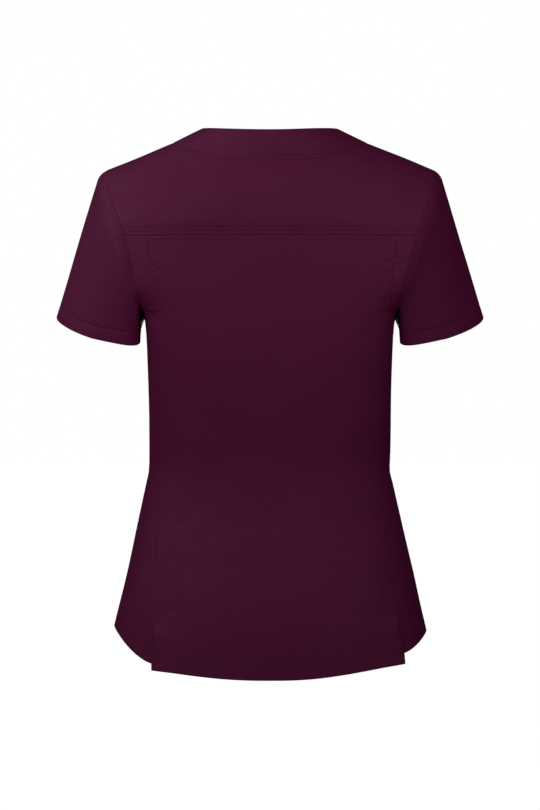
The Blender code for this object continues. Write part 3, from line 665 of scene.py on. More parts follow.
# Puckers along a seam: how long each set of ripples is, how it is weighted and how it slants.
Ripple = namedtuple("Ripple", "length weight slant")
RIPPLES = [Ripple(*row) for row in (
    (0.0066, 0.55, 0.25),
    (0.0097, 0.65, -0.35),
    (0.0151, 0.55, 0.55),
    (0.0290, 0.35, -0.20),
)]
SWELL_LENGTHS = (0.047, 0.081)      # puckers come and go over these lengths
SWELL_MEAN = 0.62
SWELL = 0.38
UNEVENNESS = 0.30
# The kth wave starts at the seam's phase times k and this.
RIPPLE_PHASE, SWELL_PHASE, UNEVEN_PHASE = 1.7, 2.3, 1.3


def puckers(along, distance, height, reach, phase):
    """Small uneven ripples beside a seam, fading within reach of it."""
    total = np.zeros(np.shape(distance))
    for k, ripple in enumerate(RIPPLES):
        place = along + ripple.slant * distance
        wave = np.sin(2 * math.pi * place / ripple.length + phase * (k + RIPPLE_PHASE))
        total = total + ripple.weight * wave
    swell = 1.0
    for k, length in enumerate(SWELL_LENGTHS):
        wave = np.sin(2 * math.pi * along / length + phase * (k + SWELL_PHASE))
        swell = swell * (SWELL_MEAN + SWELL * wave)
    fade = np.exp(-(distance / reach) ** 2) * smooth_step(distance / SEAM_ROUND)
    return height * swell * total * fade


def dive(distance, depth, width=SEAM_ROUND):
    """The cloth turning down into a seam or round a folded edge."""
    t = np.clip(1 - distance / width, 0, 1)
    return -depth * (1 - np.sqrt(1 - ROUNDNESS * t * t)) / (1 - math.sqrt(1 - ROUNDNESS))


def valley(distance, depth=SOFT_SEAM):
    """A seam that lies flat: a soft valley without a crack."""
    return -depth * np.exp(-(distance / VALLEY_WIDTH) ** 2)


def sink(distance, width, depth, ease):
    """The cloth drawn down over an allowance of this width that is stitched under it."""
    return -depth * (1 - smooth_step((distance - width) / ease))


def groove(distance, at, depth=GROOVE_DEPTH, width=GROOVE_WIDTH):
    """A row of stitches pulling the cloth in."""
    return -depth * np.exp(-((distance - at) / width) ** 2)


def sunk(distance, depth):
    """A sleeve's cloth beside the armhole: it dips and comes back, or it starts high and falls."""
    dip = (1 - np.exp(-distance / SLEEVE_STEP)) * np.exp(-(distance / SLEEVE_RETURN) ** 2)
    return -depth * np.where(depth > 0, dip, np.exp(-distance / SLEEVE_FALL))


def uneven(along, phase):
    """A share round one that comes and goes along a row of stitches."""
    share = 1.0
    for k, length in enumerate(SWELL_LENGTHS):
        wave = np.sin(2 * math.pi * along / length + phase * (k + UNEVEN_PHASE))
        share = share + UNEVENNESS * wave
    return share


def lip(distance, height, at=RIDGE_AT, width=LIP_WIDTH):
    """A soft ridge beside a seam, where its turned edge fills the cloth."""
    return height * np.exp(-((distance - at) / width) ** 2)


def folded_edge(grid, distance, width, depth, spread=GROOVE_WIDTH):
    """A hem: a rounded edge, the cloth doubled up to its stitches, and their groove."""
    grid.rise += dive(distance, EDGE_DEPTH, EDGE_ROUND) + groove(distance, width, depth, spread)
    doubled = distance < width + TURNING
    grid.thickness = np.where(doubled, FOLDED, grid.thickness)


# ----------------------------------------------------------------------------- building meshes
MATCH = 20000               # points of two grids are one where they agree to this part of a metre
SHARP = math.radians(60)    # the shading breaks where faces meet at more than this


def oriented(grid, faces):
    """Turn a grid's faces round where they would face inwards."""
    flat = grid.points.reshape(-1, 3)
    middle = faces[len(faces) // 2]
    a, b, c = flat[middle[0]], flat[middle[1]], flat[middle[2]]
    facing = np.dot(np.cross(b - a, c - b), grid.normals.reshape(-1, 3)[middle[0]])
    return faces if facing > 0 else faces[:, ::-1]


def grid_faces(rows, columns):
    corner = (np.arange(rows - 1)[:, None] * columns + np.arange(columns - 1)).ravel()
    return np.stack((corner, corner + 1, corner + columns + 1, corner + columns), axis=1)


def border_edges(faces, count):
    """Directed edges that only one face has."""
    starts = faces.ravel()
    ends = np.roll(faces, -1, axis=1).ravel()
    ways = starts * count + ends
    alone = ~np.isin(ways, ends * count + starts)
    return starts[alone], ends[alone]


def new_object(name, points, faces, material, uvs=None):
    """A smooth mesh in the scene."""
    mesh = bpy.data.meshes.new(name)
    mesh.from_pydata(points, [], faces)
    if uvs is not None:
        layer = mesh.uv_layers.new(name="thread")
        layer.data.foreach_set("uv", uvs.astype(np.float32).ravel())
    mesh.shade_smooth()
    mesh.materials.append(material)
    piece = bpy.data.objects.new(name, mesh)
    bpy.context.scene.collection.objects.link(piece)
    return piece


def add_allowances(outer, inner, normals, thickness, begins, ends):
    """Thicken the inside along sewn edges and let it reach on, so that a seam lets no light by."""
    along = unit(outer[ends] - outer[begins])
    beyond = np.zeros_like(outer)
    for corner in (begins, ends):
        np.add.at(beyond, corner, np.cross(along, normals[corner]))
    sewn = np.unique(begins)
    sewn = sewn[thickness[sewn] < FOLDED]
    inner[sewn] += ALLOWANCE_REACH * unit(beyond[sewn]) - ALLOWANCE_DEPTH * normals[sewn]


def shell(name, grids, material):
    """A closed thin shell of one piece of cloth, from its grids of outer points."""
    places = np.concatenate([g.points.reshape(-1, 3) for g in grids])
    raised = np.concatenate([g.raised().reshape(-1, 3) for g in grids])
    normals = np.concatenate([g.normals.reshape(-1, 3) for g in grids])
    thickness = np.concatenate([g.thickness.ravel() for g in grids])
    keys = np.round(places * MATCH).astype(np.int64)
    _, first, known = np.unique(keys, axis=0, return_index=True, return_inverse=True)
    known = known.reshape(-1)
    faces = []
    uvs = []
    start = 0
    for grid in grids:
        own = oriented(grid, grid_faces(*grid.points.shape[:2]))
        uv = vectors(grid.from_left, grid.from_bottom).reshape(-1, 2)
        uvs.append(uv[own])
        faces.append(known[own + start])
        start += len(uv)
    faces = np.concatenate(faces)
    uvs = np.concatenate(uvs)
    normals = normals[first]
    thickness = thickness[first]
    outer = raised[first]
    inner = outer - thickness[:, None] * normals
    count = len(outer)
    begins, ends = border_edges(faces, count)
    add_allowances(outer, inner, normals, thickness, begins, ends)
    rim = np.stack((ends, begins, begins + count, ends + count), axis=1)
    every = np.concatenate((faces, faces[:, ::-1] + count, rim))
    rim_uvs = np.zeros((len(rim), 4, 2))
    piece = new_object(SHOWN + name, np.concatenate((outer, inner)).tolist(), every.tolist(),
                       material, np.concatenate((uvs, uvs[:, ::-1], rim_uvs)))
    piece.data.set_sharp_from_angle(angle=SHARP)
    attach(piece, "root")
    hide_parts(name)
    return piece


# --------------------------------------------------------------------------------------- stitches
def between(marks, run, values):
    """Points or directions at these marks, straight between those at run."""
    return np.stack([np.interp(marks, run, values[:, k]) for k in range(3)], axis=-1)


def line_at(grid, distances, value, axis):
    """The line on the raised cloth where distances has this value, with outward directions."""
    points = grid.raised()
    normals = grid.normals
    if axis == 0:
        points, normals, distances = (np.swapaxes(a, 0, 1) for a in (points, normals, distances))
    line = []
    ways = []
    for row, way, distance in zip(points, normals, distances):
        order = np.argsort(distance)
        line.append(between(value, distance[order], row[order]))
        ways.append(between(value, distance[order], way[order]))
    return np.array(line), unit(np.array(ways))


def seam_point(grid, column, height):
    """The point of a raised column of the grid at a height, with its outward direction."""
    points = grid.raised()[:, column]
    order = np.argsort(points[:, 2])
    heights = points[order, 2]
    normal = between(height, heights, grid.normals[order, column])
    return between(height, heights, points[order]), unit(normal)


def stitch_frames(line, normals, random):
    """Points along each stitch of a row, with their outward directions."""
    run = run_along(line)
    count = int((run[-1] - STITCH) / STITCH_PITCH)
    starts = (run[-1] - count * STITCH_PITCH) / 2 + STITCH_PITCH * np.arange(count)
    starts = starts + random.normal(0, STITCH_JITTER * STITCH_PITCH, count)
    marks = starts[:, None] + STITCH * np.linspace(0, 1, STITCH_STEPS)
    return between(marks, run, line), unit(between(marks, run, normals))


def stitch_tubes(middle, out, radius):
    """Small arched threads, as one mesh of points and faces, through rows of middle points."""
    count, steps = middle.shape[:2]
    shares = np.linspace(0, 1, steps)
    arch = np.sin(math.pi * shares)
    taper = STITCH_TAPER + (1 - STITCH_TAPER) * np.sqrt(arch)
    height = radius * (STITCH_ARCH * arch - STITCH_SINK * (1 - arch))
    along = unit(np.gradient(middle, axis=1))
    aside = unit(np.cross(along, out))
    turn = 2 * math.pi * np.arange(STITCH_SIDES) / STITCH_SIDES
    ring = (np.cos(turn)[:, None] * out[:, :, None, :] + np.sin(turn)[:, None]
            * aside[:, :, None, :]) * (radius * taper)[None, :, None, None]
    points = (middle + height[None, :, None] * out)[:, :, None, :] + ring
    first = np.arange(count)[:, None, None] * steps * STITCH_SIDES
    step = np.arange(steps - 1)[None, :, None] * STITCH_SIDES
    side = np.arange(STITCH_SIDES)[None, None, :]
    after = (side + 1) % STITCH_SIDES
    quads = np.stack(np.broadcast_arrays(
        first + step + side, first + step + after,
        first + step + STITCH_SIDES + after, first + step + STITCH_SIDES + side), axis=-1)
    base = np.arange(count)[:, None] * steps * STITCH_SIDES
    start_cap = base + np.arange(STITCH_SIDES)[::-1]
    end_cap = base + (steps - 1) * STITCH_SIDES + np.arange(STITCH_SIDES)
    return points.reshape(-1, 3), quads.reshape(-1, 4), np.concatenate((start_cap, end_cap))


class Sewing:
    """The stitches of one part of the garment, gathered into one object."""

    def __init__(self, name):
        self.name = name
        self.random = np.random.default_rng(SEEDS[name])
        self.points = []
        self.faces = []
        self.count = 0

    def add(self, middle, out, radius=THREAD / 2):
        points, quads, caps = stitch_tubes(middle, out, radius)
        self.faces += (quads + self.count).tolist() + (caps + self.count).tolist()
        self.points.append(points)
        self.count += len(points)

    def row(self, grid, distances, value, axis=0):
        """A row of stitches across a grid, where distances has this value."""
        self.add(*stitch_frames(*line_at(grid, distances, value, axis), self.random))

    def tack(self, point, normal, way, length, width):
        """A bar tack: close stitches side by side, laid along way from the point."""
        way = unit(np.array(way) - np.dot(way, normal) * normal)
        aside = np.cross(normal, way)
        places = np.arange(0, length, TACK_PITCH)
        wide = width * (1 + TACK_JITTER * self.random.normal(size=len(places)))
        shares = np.linspace(-0.5, 0.5, STITCH_STEPS)
        middle = (point + places[:, None, None] * way
                  + shares[None, :, None] * wide[:, None, None] * aside)
        middle = middle + TACK_RISE * THREAD * normal
        self.add(middle, np.broadcast_to(normal, middle.shape), TACK_THREAD * THREAD)

    def build(self, material):
        piece = new_object(self.name, np.concatenate(self.points).tolist(), self.faces, material)
        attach(piece, "root")
        return piece


# ----------------------------------------------------------------------------------------- pieces
def yoke_grid():
    """From the yoke seam up to the neck seam and over the shoulders to the shoulder seams."""
    up = graded(YOKE_RUN, YOKE_ZONE, SEAM_ZONE, ROW_STEP)
    neck_shares = np.linspace(0, 1, NECK_POINTS)
    wing_shares = graded(SHOULDER_RUN, EDGE_ZONE, 0, ROW_STEP)[:-1]
    arm_x, arm_turn = armhole_curve("back", YOKE_SEAM, up)
    right = vectors(arm_x, arm_turn)
    neck = vectors(*back_neck(SEAM_BEARING * (2 * neck_shares - 1)))
    shoulder_x = arm_x[-1] + (SEAM_NECK_X - arm_x[-1]) * wing_shares
    shoulder = vectors(shoulder_x, SEAM_TURN)
    top = np.concatenate((shoulder * (-1, 1), neck, shoulder[::-1]))
    under_neck = UNDER_NECK * arm_x[0]
    outer_x = arm_x[0] + (under_neck - arm_x[0]) * wing_shares
    bottom_x = np.concatenate((-outer_x, under_neck * (2 * neck_shares - 1), outer_x[::-1]))
    bottom = vectors(bottom_x, -turn_at(bottom_x, YOKE_SEAM))
    wing = WING * wing_shares
    across = np.concatenate((wing, WING + (1 - 2 * WING) * neck_shares, (1 - wing)[::-1]))
    return Grid(*placed_over(coons(bottom, top, right * (-1, 1), right, across, up)))


def body_heights(angles, piece, side, shares):
    """Heights of rows from the hem up to the underarm, for columns that end at these angles."""
    down = 1 - shares[:, None]
    hem = np.array([hem_at(a, side or (1 if a >= 0 else -1), piece) for a in angles])
    level = UNDERARM + (HEM_LEVEL - UNDERARM) * down
    return level + (hem - HEM_LEVEL) * smooth_step(2 * down - 1)


def body_part(start, end, piece, side, across, upper):
    """Rows from the hem up to the underarm and on to the upper heights, between two seams."""
    low = graded(BODY_RUN, HEM_ZONE, 0, ROW_STEP)
    last = start(HEM_LEVEL) * (1 - across) + end(HEM_LEVEL) * across
    heights = body_heights(last, piece, side, low)
    level = np.repeat(upper[1:, None], len(across), axis=1)
    heights = np.concatenate((heights, level))
    return placed(around, start(heights) * (1 - across) + end(heights) * across, heights)


def back_panel_grid():
    across = graded(BACK_RUN, SEAM_ZONE, SEAM_ZONE)
    rise = graded(BACK_TOP_RUN, 0, SEAM_ZONE, PUCKER_STEP)
    upper = UNDERARM + (YOKE_SEAM - UNDERARM) * rise
    points, normals = body_part(seam_angle("back", -1), seam_angle("back", 1), "back", 0,
                                across, upper)
    heights = points[..., 2]
    for side, edge in EDGE_COLUMN.items():
        below = VENT_TOP[side] - heights
        lap = VENT_LAP * smooth_step((below - VENT_LAP_START) / VENT_LAP_EASE)
        lift = VENT_LIFT * smooth_step(below / VENT_EASE)
        away = np.linalg.norm(points - points[:, edge][:, None], axis=-1)
        fade = 1 - smooth_step(away / VENT_SPREAD)
        sideways = np.cross(normals, (0.0, 0.0, -side))
        points = points + (lift * fade)[..., None] * normals
        points = points + (lap * fade)[..., None] * unit(sideways)
    return Grid(points, normals)


def upper_front(inner, outer, base_x, side):
    """A patch from the V's level up to the shoulder seam, between two curves in (x, turn)."""
    inner = vectors(*inner)
    outer = vectors(*outer)
    share = ((base_x - base_x[0]) / (base_x[-1] - base_x[0]))[None, :, None]
    flat = inner[:, None] * (1 - share) + outer[:, None] * share
    fix = turn_at(base_x, FRONT_LEVEL) - flat[0, :, 1]
    flat[..., 1] += np.linspace(1, 0, len(inner))[:, None] * fix
    flat[..., 0] *= side
    return flat


def side_panel_grids(side):
    """A strip behind the side line and one in front of it, which share that line."""
    across = graded(SIDE_RUN["back"], SEAM_ZONE, EDGE_ZONE)
    rise = graded(HORN_RUN["back"], 0, SEAM_ZONE, ROW_STEP)
    back = Grid(*body_part(seam_angle("back", side), horn_edge("back", side), "side", side,
                           across, fan_heights(UNDERARM, YOKE_SEAM, rise)))
    across = graded(SIDE_RUN["front"], EDGE_ZONE, SEAM_ZONE)
    rise = graded(HORN_RUN["front"], 0, 0, ROW_STEP)
    lower = body_part(horn_edge("front", side), seam_angle("front", side), "side", side,
                      across, fan_heights(UNDERARM, FRONT_LEVEL, rise))
    base_x = np.abs(lower[0][-1, ::-1, 0])
    rise = graded(BESIDE_V_RUN, 0, SEAM_ZONE, ROW_STEP)
    flat = upper_front(front_princess_top(rise), armhole_curve("front", FRONT_LEVEL, rise),
                       base_x, side)
    upper = placed_over(flat[1:, ::-1])
    return back, Grid(*(np.concatenate(parts) for parts in zip(lower, upper)))


def front_panel_grids():
    """The panel up to the V's level, and the two parts beside the V above it."""
    half = graded(HALF_FRONT_RUN, SEAM_ZONE, SEAM_ZONE + TOPSTITCH)
    across = np.concatenate((half / 2, 1 - half[::-1][1:] / 2))
    upper = UNDERARM + (FRONT_LEVEL - UNDERARM) * graded(UNDER_V_RUN, 0, 0, ROW_STEP)

    def left_on_round(z):
        return 2 * math.pi + seam_angle("front", -1)(z)

    grids = [Grid(*body_part(seam_angle("front", 1), left_on_round, "front", 0, across, upper))]
    right_x = grids[0].points[-1, :len(half), 0][::-1].copy()
    right_x[0] = 0.0
    rise = graded(BESIDE_V_RUN, 0, SEAM_ZONE, ROW_STEP)
    for side in SIDES:
        flat = upper_front(front_neck(rise), front_princess_top(rise), right_x, side)
        grids.append(Grid(*placed_over(flat)))
    return grids


def armhole_loop(side):
    """The armhole from the shoulder seam down the back and up the front, with its directions."""
    shares = {name: np.linspace(0, 1, count) for name, count in LOOP_POINTS.items()}
    x, turn = armhole_curve("back", YOKE_SEAM, shares["yoke"])
    stretches = [placed(over_shoulder, side * x[::-1], turn[::-1])]
    back = fan_heights(UNDERARM, YOKE_SEAM, shares["back"])[::-1][1:]
    front = fan_heights(UNDERARM, FRONT_LEVEL, shares["front"])[1:]
    for face, rows in (("back", back), ("front", front)):
        stretches.append(placed(around, horn_edge(face, side)(rows), rows))
    x, turn = armhole_curve("front", FRONT_LEVEL, shares["shoulder"])
    stretches.append(placed(over_shoulder, side * x[1:-1], turn[1:-1]))
    points, normals = (np.concatenate(parts) for parts in zip(*stretches))
    along = unit(np.roll(points, -1, axis=0) - np.roll(points, 1, axis=0))
    crossing = np.cross(along, normals)
    flip = np.sum(crossing * (side, 0, 0), axis=-1, keepdims=True)
    lowest = int(np.argmin(points[:, 2]))
    crossing = unit(crossing * np.where(flip < 0, -1, 1))
    crossing[lowest] = (0, 0, 1)
    return points, normals, crossing, lowest


def cuff_point(bearing, side):
    """A point of the cuff's edge; bearing is 0 at the outside, a quarter turn at the back."""
    lean = np.array([math.sin(CUFF_LEAN), 0.0, -math.cos(CUFF_LEAN)])
    out = np.array([math.cos(CUFF_LEAN), 0.0, math.sin(CUFF_LEAN)])
    forward = math.cos(CUFF_TIP) * np.array([0.0, 1.0, 0.0]) - math.sin(CUFF_TIP) * lean
    power = CUFF_POWER["outer" if math.cos(bearing) > 0 else "inner"]
    radius = (abs(math.cos(bearing)) ** power + abs(math.sin(bearing)) ** power) ** (-1 / power)
    across = CUFF_HALF_WIDTH * radius * math.cos(bearing)
    inner = CUFF_INNER * min(across, 0)
    across = max(across, 0) + inner
    point = (np.array(CUFF_CENTRE) + across * out
             - CUFF_HALF_DEPTH * radius * math.sin(bearing) * forward)
    point += (inner * CUFF_OVERHANG * math.sin(bearing), CUFF_TURN * across,
              CUFF_RISE * (inner / CUFF_HALF_WIDTH) ** CUFF_RISE_POWER)
    return point * (side, 1, 1)


def sleeve_grid(side):
    """From the cuff straight up and over the rounded head to the armhole."""
    loop, body_normals, crossing, lowest = armhole_loop(side)
    top = int(np.argmin(np.abs(loop[:, 1]) + (loop[:, 2] < UNDERARM / 2)))
    run = run_along(np.concatenate((loop, loop[:1])))
    whole = run[-1]
    head_steps = np.linspace(0, 1, HEAD_POINTS)[:, None] ** HEAD_SPACING
    straight_steps = graded(SLEEVE_RUN, 0, CUFF_ZONE, ROW_STEP)[1:, None]
    ribs = []
    for j in range(len(loop)):
        from_top = (run[j] - run[top]) % whole
        to_low = (run[lowest] - run[top]) % whole
        if from_top <= to_low:
            share = from_top / to_low
        else:
            share = 2 - (whole - from_top) / (whole - to_low)
        end = cuff_point(math.pi * share + math.pi * CUFF_SHIFT * math.sin(math.pi * share), side)
        high = smooth_step((loop[j, 2] - UNDERARM) / ARMPIT_BLEND)
        away = unit(ARMPIT_WAY * (side, 1, 1))
        way = unit(high * crossing[j] + (1 - high) * away)
        reach = ARMPIT_EASE + (HEAD_EASE - ARMPIT_EASE) * high
        corner = loop[j] + reach * way
        landing = corner + reach * unit(end - corner)
        t = head_steps
        head = (1 - t) ** 2 * loop[j] + 2 * t * (1 - t) * corner + t * t * landing
        ribs.append(np.concatenate((head, landing + (end - landing) * straight_steps)))
    points = np.stack(ribs, axis=1)
    points = np.roll(points, -lowest, axis=1)
    body_normals = np.roll(body_normals, -lowest, axis=0)
    points = np.concatenate((points, points[:, :1]), axis=1)
    along = np.gradient(points, axis=0)
    across = np.roll(points[:, :-1], -1, axis=1) - np.roll(points[:, :-1], 1, axis=1)
    across = np.concatenate((across, across[:, :1]), axis=1)
    normals = unit(np.cross(along, across))
    axis = np.mean(points[:, :-1], axis=1, keepdims=True)
    facing = np.sum(normals * (points - axis), axis=(1, 2)).mean()
    normals = normals if facing > 0 else -normals
    body = np.concatenate((body_normals, body_normals[:1]))
    agree = np.sum(normals[0] * body, axis=-1, keepdims=True)
    share = smooth_step((agree - VALLEY) / (FLUSH - VALLEY))
    normals[0] = unit(share * body + (1 - share) * normals[0])
    return Grid(points[::-1], normals[::-1])


def band_top(bearing):
    """The top edge of the neckband behind the shoulder seams."""
    x = BAND_HALF_WIDTH * np.sin(bearing)
    y = -BAND_BACK_DEPTH * np.cos(bearing)
    fall = (BAND_BACK_HEIGHT - BAND_SIDE_HEIGHT) * np.cos(bearing) ** 2
    return vectors(x, y, BAND_SIDE_HEIGHT + fall)


def band_grid(seam, seam_normals, top):
    """A strip from the neck seam to the band's top edge."""
    share = graded(BAND_RUN, SEAM_ZONE, EDGE_ZONE)[:, None, None]
    points = seam[None] * (1 - share) + top[None] * share
    along = np.gradient(points, axis=1)
    rise = (top - seam)[None] + 0 * points
    normals = unit(np.cross(along, rise))
    if np.sum(normals * seam_normals[None]) < 0:
        normals = -normals
    return Grid(points, normals)


def neckband_back_grid():
    bearings = np.linspace(-SEAM_BEARING, SEAM_BEARING, BAND_BACK_POINTS)
    return band_grid(*placed(over_shoulder, *back_neck(bearings)), band_top(bearings))


def neckband_front_grid(side):
    """From the shoulder seam down to the point of the V."""
    shares = np.linspace(0, 1, BAND_FRONT_POINTS)
    x, turn = front_neck(shares)
    start = band_top(np.array(SEAM_BEARING))
    fall = 1 - shares
    z = start[2] + (BAND_FRONT_HEIGHT - start[2]) * fall
    top_x = start[0] * (1 - fall ** NECK_FRONT_POWER)
    y = start[1] + (BAND_FRONT_DEPTH - start[1]) * np.sin(fall * math.pi / 2) ** BAND_FRONT_ROUND
    top = vectors(side * top_x, y, z)
    return band_grid(*placed(over_shoulder, side * x, turn), top)


# -------------------------------------------------------------------------------------- materials
class Nodes:
    """A short way to add and join shader nodes."""

    def __init__(self, tree):
        self.tree = tree
        tree.nodes.clear()

    def add(self, kind, inputs=None, **settings):
        """A node with these settings, its inputs joined to sockets or set to values."""
        node = self.tree.nodes.new(kind)
        for name, value in settings.items():
            setattr(node, name, value)
        for name, source in (inputs or {}).items():
            self.give(source, node.inputs[name])
        return node

    def give(self, source, target):
        """Feed an input from a socket or with a value."""
        if isinstance(source, bpy.types.NodeSocket):
            self.tree.links.new(source, target)
        else:
            target.default_value = source

    def math(self, operation, first, second=0.0):
        return self.add("ShaderNodeMath", {0: first, 1: second}, operation=operation).outputs[0]

    def wave(self, along, pitch):
        return self.math("SINE", self.math("MULTIPLY", along, 2 * math.pi / pitch))

    def total(self, weights, **outputs):
        """The sum of some outputs, each with its weight."""
        total = 0.0
        for name, output in outputs.items():
            total = self.math("ADD", total, self.math("MULTIPLY", output, weights[name]))
        return total

    def ramp(self, source, low, high, to_low=0.0, to_high=1.0):
        ends = {"Value": source, "From Min": low, "From Max": high,
                "To Min": to_low, "To Max": to_high}
        return self.add("ShaderNodeMapRange", ends, interpolation_type="SMOOTHSTEP").outputs["Result"]

    def noise(self, vector, scale, octaves=2.0):
        inputs = {"Vector": vector, "Scale": scale, "Detail": octaves}
        return self.add("ShaderNodeTexNoise", inputs).outputs["Fac"]

    def colour_between(self, share, first, second):
        node = self.add("ShaderNodeMix", {"Factor": share}, data_type="RGBA")
        ends = {"A": first, "B": second}
        for socket in node.inputs:
            if socket.type == "RGBA":
                socket.default_value = (*ends[socket.name], 1.0)
        return next(socket for socket in node.outputs if socket.type == "RGBA")

    def bump(self, height, strength, distance):
        inputs = {"Height": height, "Strength": strength, "Distance": distance}
        return self.add("ShaderNodeBump", inputs).outputs["Normal"]

    def surface(self, inputs):
        """A material's shader with these inputs."""
        shader = self.add("ShaderNodeBsdfPrincipled", inputs)
        self.add("ShaderNodeOutputMaterial", {"Surface": shader.outputs["BSDF"]})


CLOTH_COLOUR = (0.0530, 0.0014, 0.0218)
CLOTH_LIGHT = (0.0590, 0.0020, 0.0244)
CLOTH_ROUGHNESS = (0.62, 0.72)
CLOTH_SPECULAR = 0.105
CLOTH_RELIEF = 0.00012      # how far the weave's bumps stand up
CLOTH_BUMP = 0.25           # and how strongly they turn the light
THREAD_COLOUR = (0.0560, 0.0025, 0.0235)
THREAD_SPECULAR = 0.12
THREAD_ROUGHNESS = 0.60
THREAD_RELIEF = 0.00005
THREAD_BUMP = 0.4
TACK_COLOUR = (0.1300, 0.0160, 0.0700)
TACK_SPECULAR = 0.30
THREAD_PITCH = 0.00042      # between neighbouring threads of the weave
TWILL_PITCH = 0.00084
SLUBS = (2100.0, 160.0, 1.0)    # thick threads to the metre, across the cloth and along it
# How fine each kind of mottling is, in spots to the metre.
CLOUDS, PATCHES, FIBRES = 14.0, 75.0, 2500.0
CLOUD_OCTAVES = 3.0
# What the weave, the mottling and the relief are made up of, and where the mottling starts and ends.
WEAVE = {"warp": 0.35, "weft": 0.2, "twill": 0.45}
MOTTLE = {"clouds": 0.5, "patches": 0.3, "slubs": 0.25, "weave": 0.12}
RELIEF = {"weave": 1.0, "slubs": 0.8}
MOTTLE_RANGE = (0.25, 0.80)
PATCH_RANGE = (0.3, 0.7)


def new_material(name):
    material = bpy.data.materials.new(name)
    material.use_nodes = True
    return material, Nodes(material.node_tree)


def cloth_material():
    """Smooth dark twill: mottled colour, slubs and a fine diagonal weave."""
    material, nodes = new_material("scrub_twill")
    place = nodes.add("ShaderNodeTexCoord").outputs["Object"]
    thread = nodes.add("ShaderNodeUVMap", uv_map="thread").outputs["UV"]
    parts = nodes.add("ShaderNodeSeparateXYZ", {0: thread})
    across, along = parts.outputs["X"], parts.outputs["Y"]
    weave = nodes.total(WEAVE, warp=nodes.wave(across, THREAD_PITCH),
                        weft=nodes.wave(along, THREAD_PITCH),
                        twill=nodes.wave(nodes.math("ADD", across, along), TWILL_PITCH))
    clouds = nodes.noise(place, CLOUDS, CLOUD_OCTAVES)
    patches = nodes.noise(place, PATCHES)
    slubs_at = nodes.add("ShaderNodeVectorMath", {0: thread, 1: SLUBS}, operation="MULTIPLY")
    slubs = nodes.noise(slubs_at.outputs["Vector"], 1.0)
    mottle = nodes.total(MOTTLE, clouds=clouds, patches=patches, slubs=slubs, weave=weave)
    lightness = nodes.ramp(mottle, *MOTTLE_RANGE)
    relief = nodes.total(RELIEF, weave=weave, slubs=slubs)
    nodes.surface({
        "Base Color": nodes.colour_between(lightness, CLOTH_COLOUR, CLOTH_LIGHT),
        "Roughness": nodes.ramp(patches, *PATCH_RANGE, *CLOTH_ROUGHNESS),
        "Specular IOR Level": CLOTH_SPECULAR,
        "Normal": nodes.bump(relief, CLOTH_BUMP, CLOTH_RELIEF)})
    return material


def thread_material(name, light_colour, specular):
    """Sewing thread between the cloth's colour and a lighter one, with its fibres."""
    material, nodes = new_material(name)
    place = nodes.add("ShaderNodeTexCoord").outputs["Object"]
    fibres = nodes.noise(place, FIBRES)
    nodes.surface({
        "Base Color": nodes.colour_between(fibres, CLOTH_COLOUR, light_colour),
        "Roughness": THREAD_ROUGHNESS,
        "Specular IOR Level": specular,
        "Normal": nodes.bump(fibres, THREAD_BUMP, THREAD_RELIEF)})
    return material


# ------------------------------------------------------------------------------- dressing the top
# The back's long seams, from the yoke down to the vents: how deep they are pressed, how much of
# that is a crack, how much they pucker and how far the cloth beside them is raised.
Pressing = namedtuple("Pressing", "height depth crack pucker ridge")
PRESSING = {
    -1: [Pressing(*row) for row in (
        (-0.118, 0.00030, 0.0, 0.00016, 0.00045),
        (-0.140, 0.00030, 0.0, 0.00050, 0.00040),
        (-0.165, 0.00020, 0.0, 0.00062, 0.00025),
        (-0.195, 0.00015, 0.0, 0.00050, 0.00010),
        (-0.245, 0.00012, 0.0, 0.00030, 0.00006),
        (-0.300, 0.00016, 0.0, 0.00020, 0.00010),
        (-0.400, 0.00016, 0.0, 0.00010, 0.00004),
        (-0.425, 0.00040, 0.3, 0.00010, 0.00004),
        (-0.500, 0.00055, 0.6, 0.00010, 0.00004),
        (-0.530, 0.00045, 0.4, 0.00014, 0.00008),
        (-0.560, 0.00025, 0.0, 0.00020, 0.00030),
        (-0.600, 0.00015, 0.0, 0.00012, 0.00030),
    )],
    1: [Pressing(*row) for row in (
        (-0.118, 0.00032, 0.0, 0.00020, 0.00045),
        (-0.140, 0.00034, 0.0, 0.00050, 0.00040),
        (-0.200, 0.00026, 0.0, 0.00060, 0.00030),
        (-0.250, 0.00024, 0.0, 0.00046, 0.00022),
        (-0.300, 0.00018, 0.0, 0.00018, 0.00012),
        (-0.400, 0.00012, 0.0, 0.00008, 0.00004),
        (-0.540, 0.00012, 0.0, 0.00010, 0.00004),
        (-0.600, 0.00020, 0.0, 0.00012, 0.00030),
    )],
}
FRONT_PRESSING = (
    Pressing(-0.640, 0.00030, 0.0, 0.00012, 0.00010),
    Pressing(-0.100, 0.00030, 0.1, 0.00026, 0.00016),
    Pressing(0.060, 0.00030, 0.0, 0.00020, 0.00016),
)
SEAM_PHASE = {-1: 1.9, 1: 4.2}      # where the long seams' puckers start, behind
FRONT_PHASE = 0.7


def in_table(table, column, z):
    """One column of a table at a height, straight between its rows."""
    rows = sorted(table)
    return np.interp(z, [row.height for row in rows], [getattr(row, column) for row in rows])


def long_seam(z, distance, pressing, phase):
    """The cloth beside a princess seam."""
    depth, crack, pucker, ridge = (
        in_table(pressing, column, z) for column in ("depth", "crack", "pucker", "ridge"))
    pressed = valley(distance, depth * (1 - crack)) + dive(distance, depth * crack)
    raised = lip(distance, ridge, RIDGE_AT, RIDGE_WIDTH)
    return pressed + raised + puckers(z, distance, pucker, PUCKER_REACH, phase)


def front_seam(grid, distance):
    """The cloth beside a front princess seam, drawn in by its row of stitches."""
    grid.rise += long_seam(grid.points[..., 2], distance, FRONT_PRESSING, FRONT_PHASE)
    grid.rise += groove(distance, PRINCESS_ROW, FRONT_GROOVE)


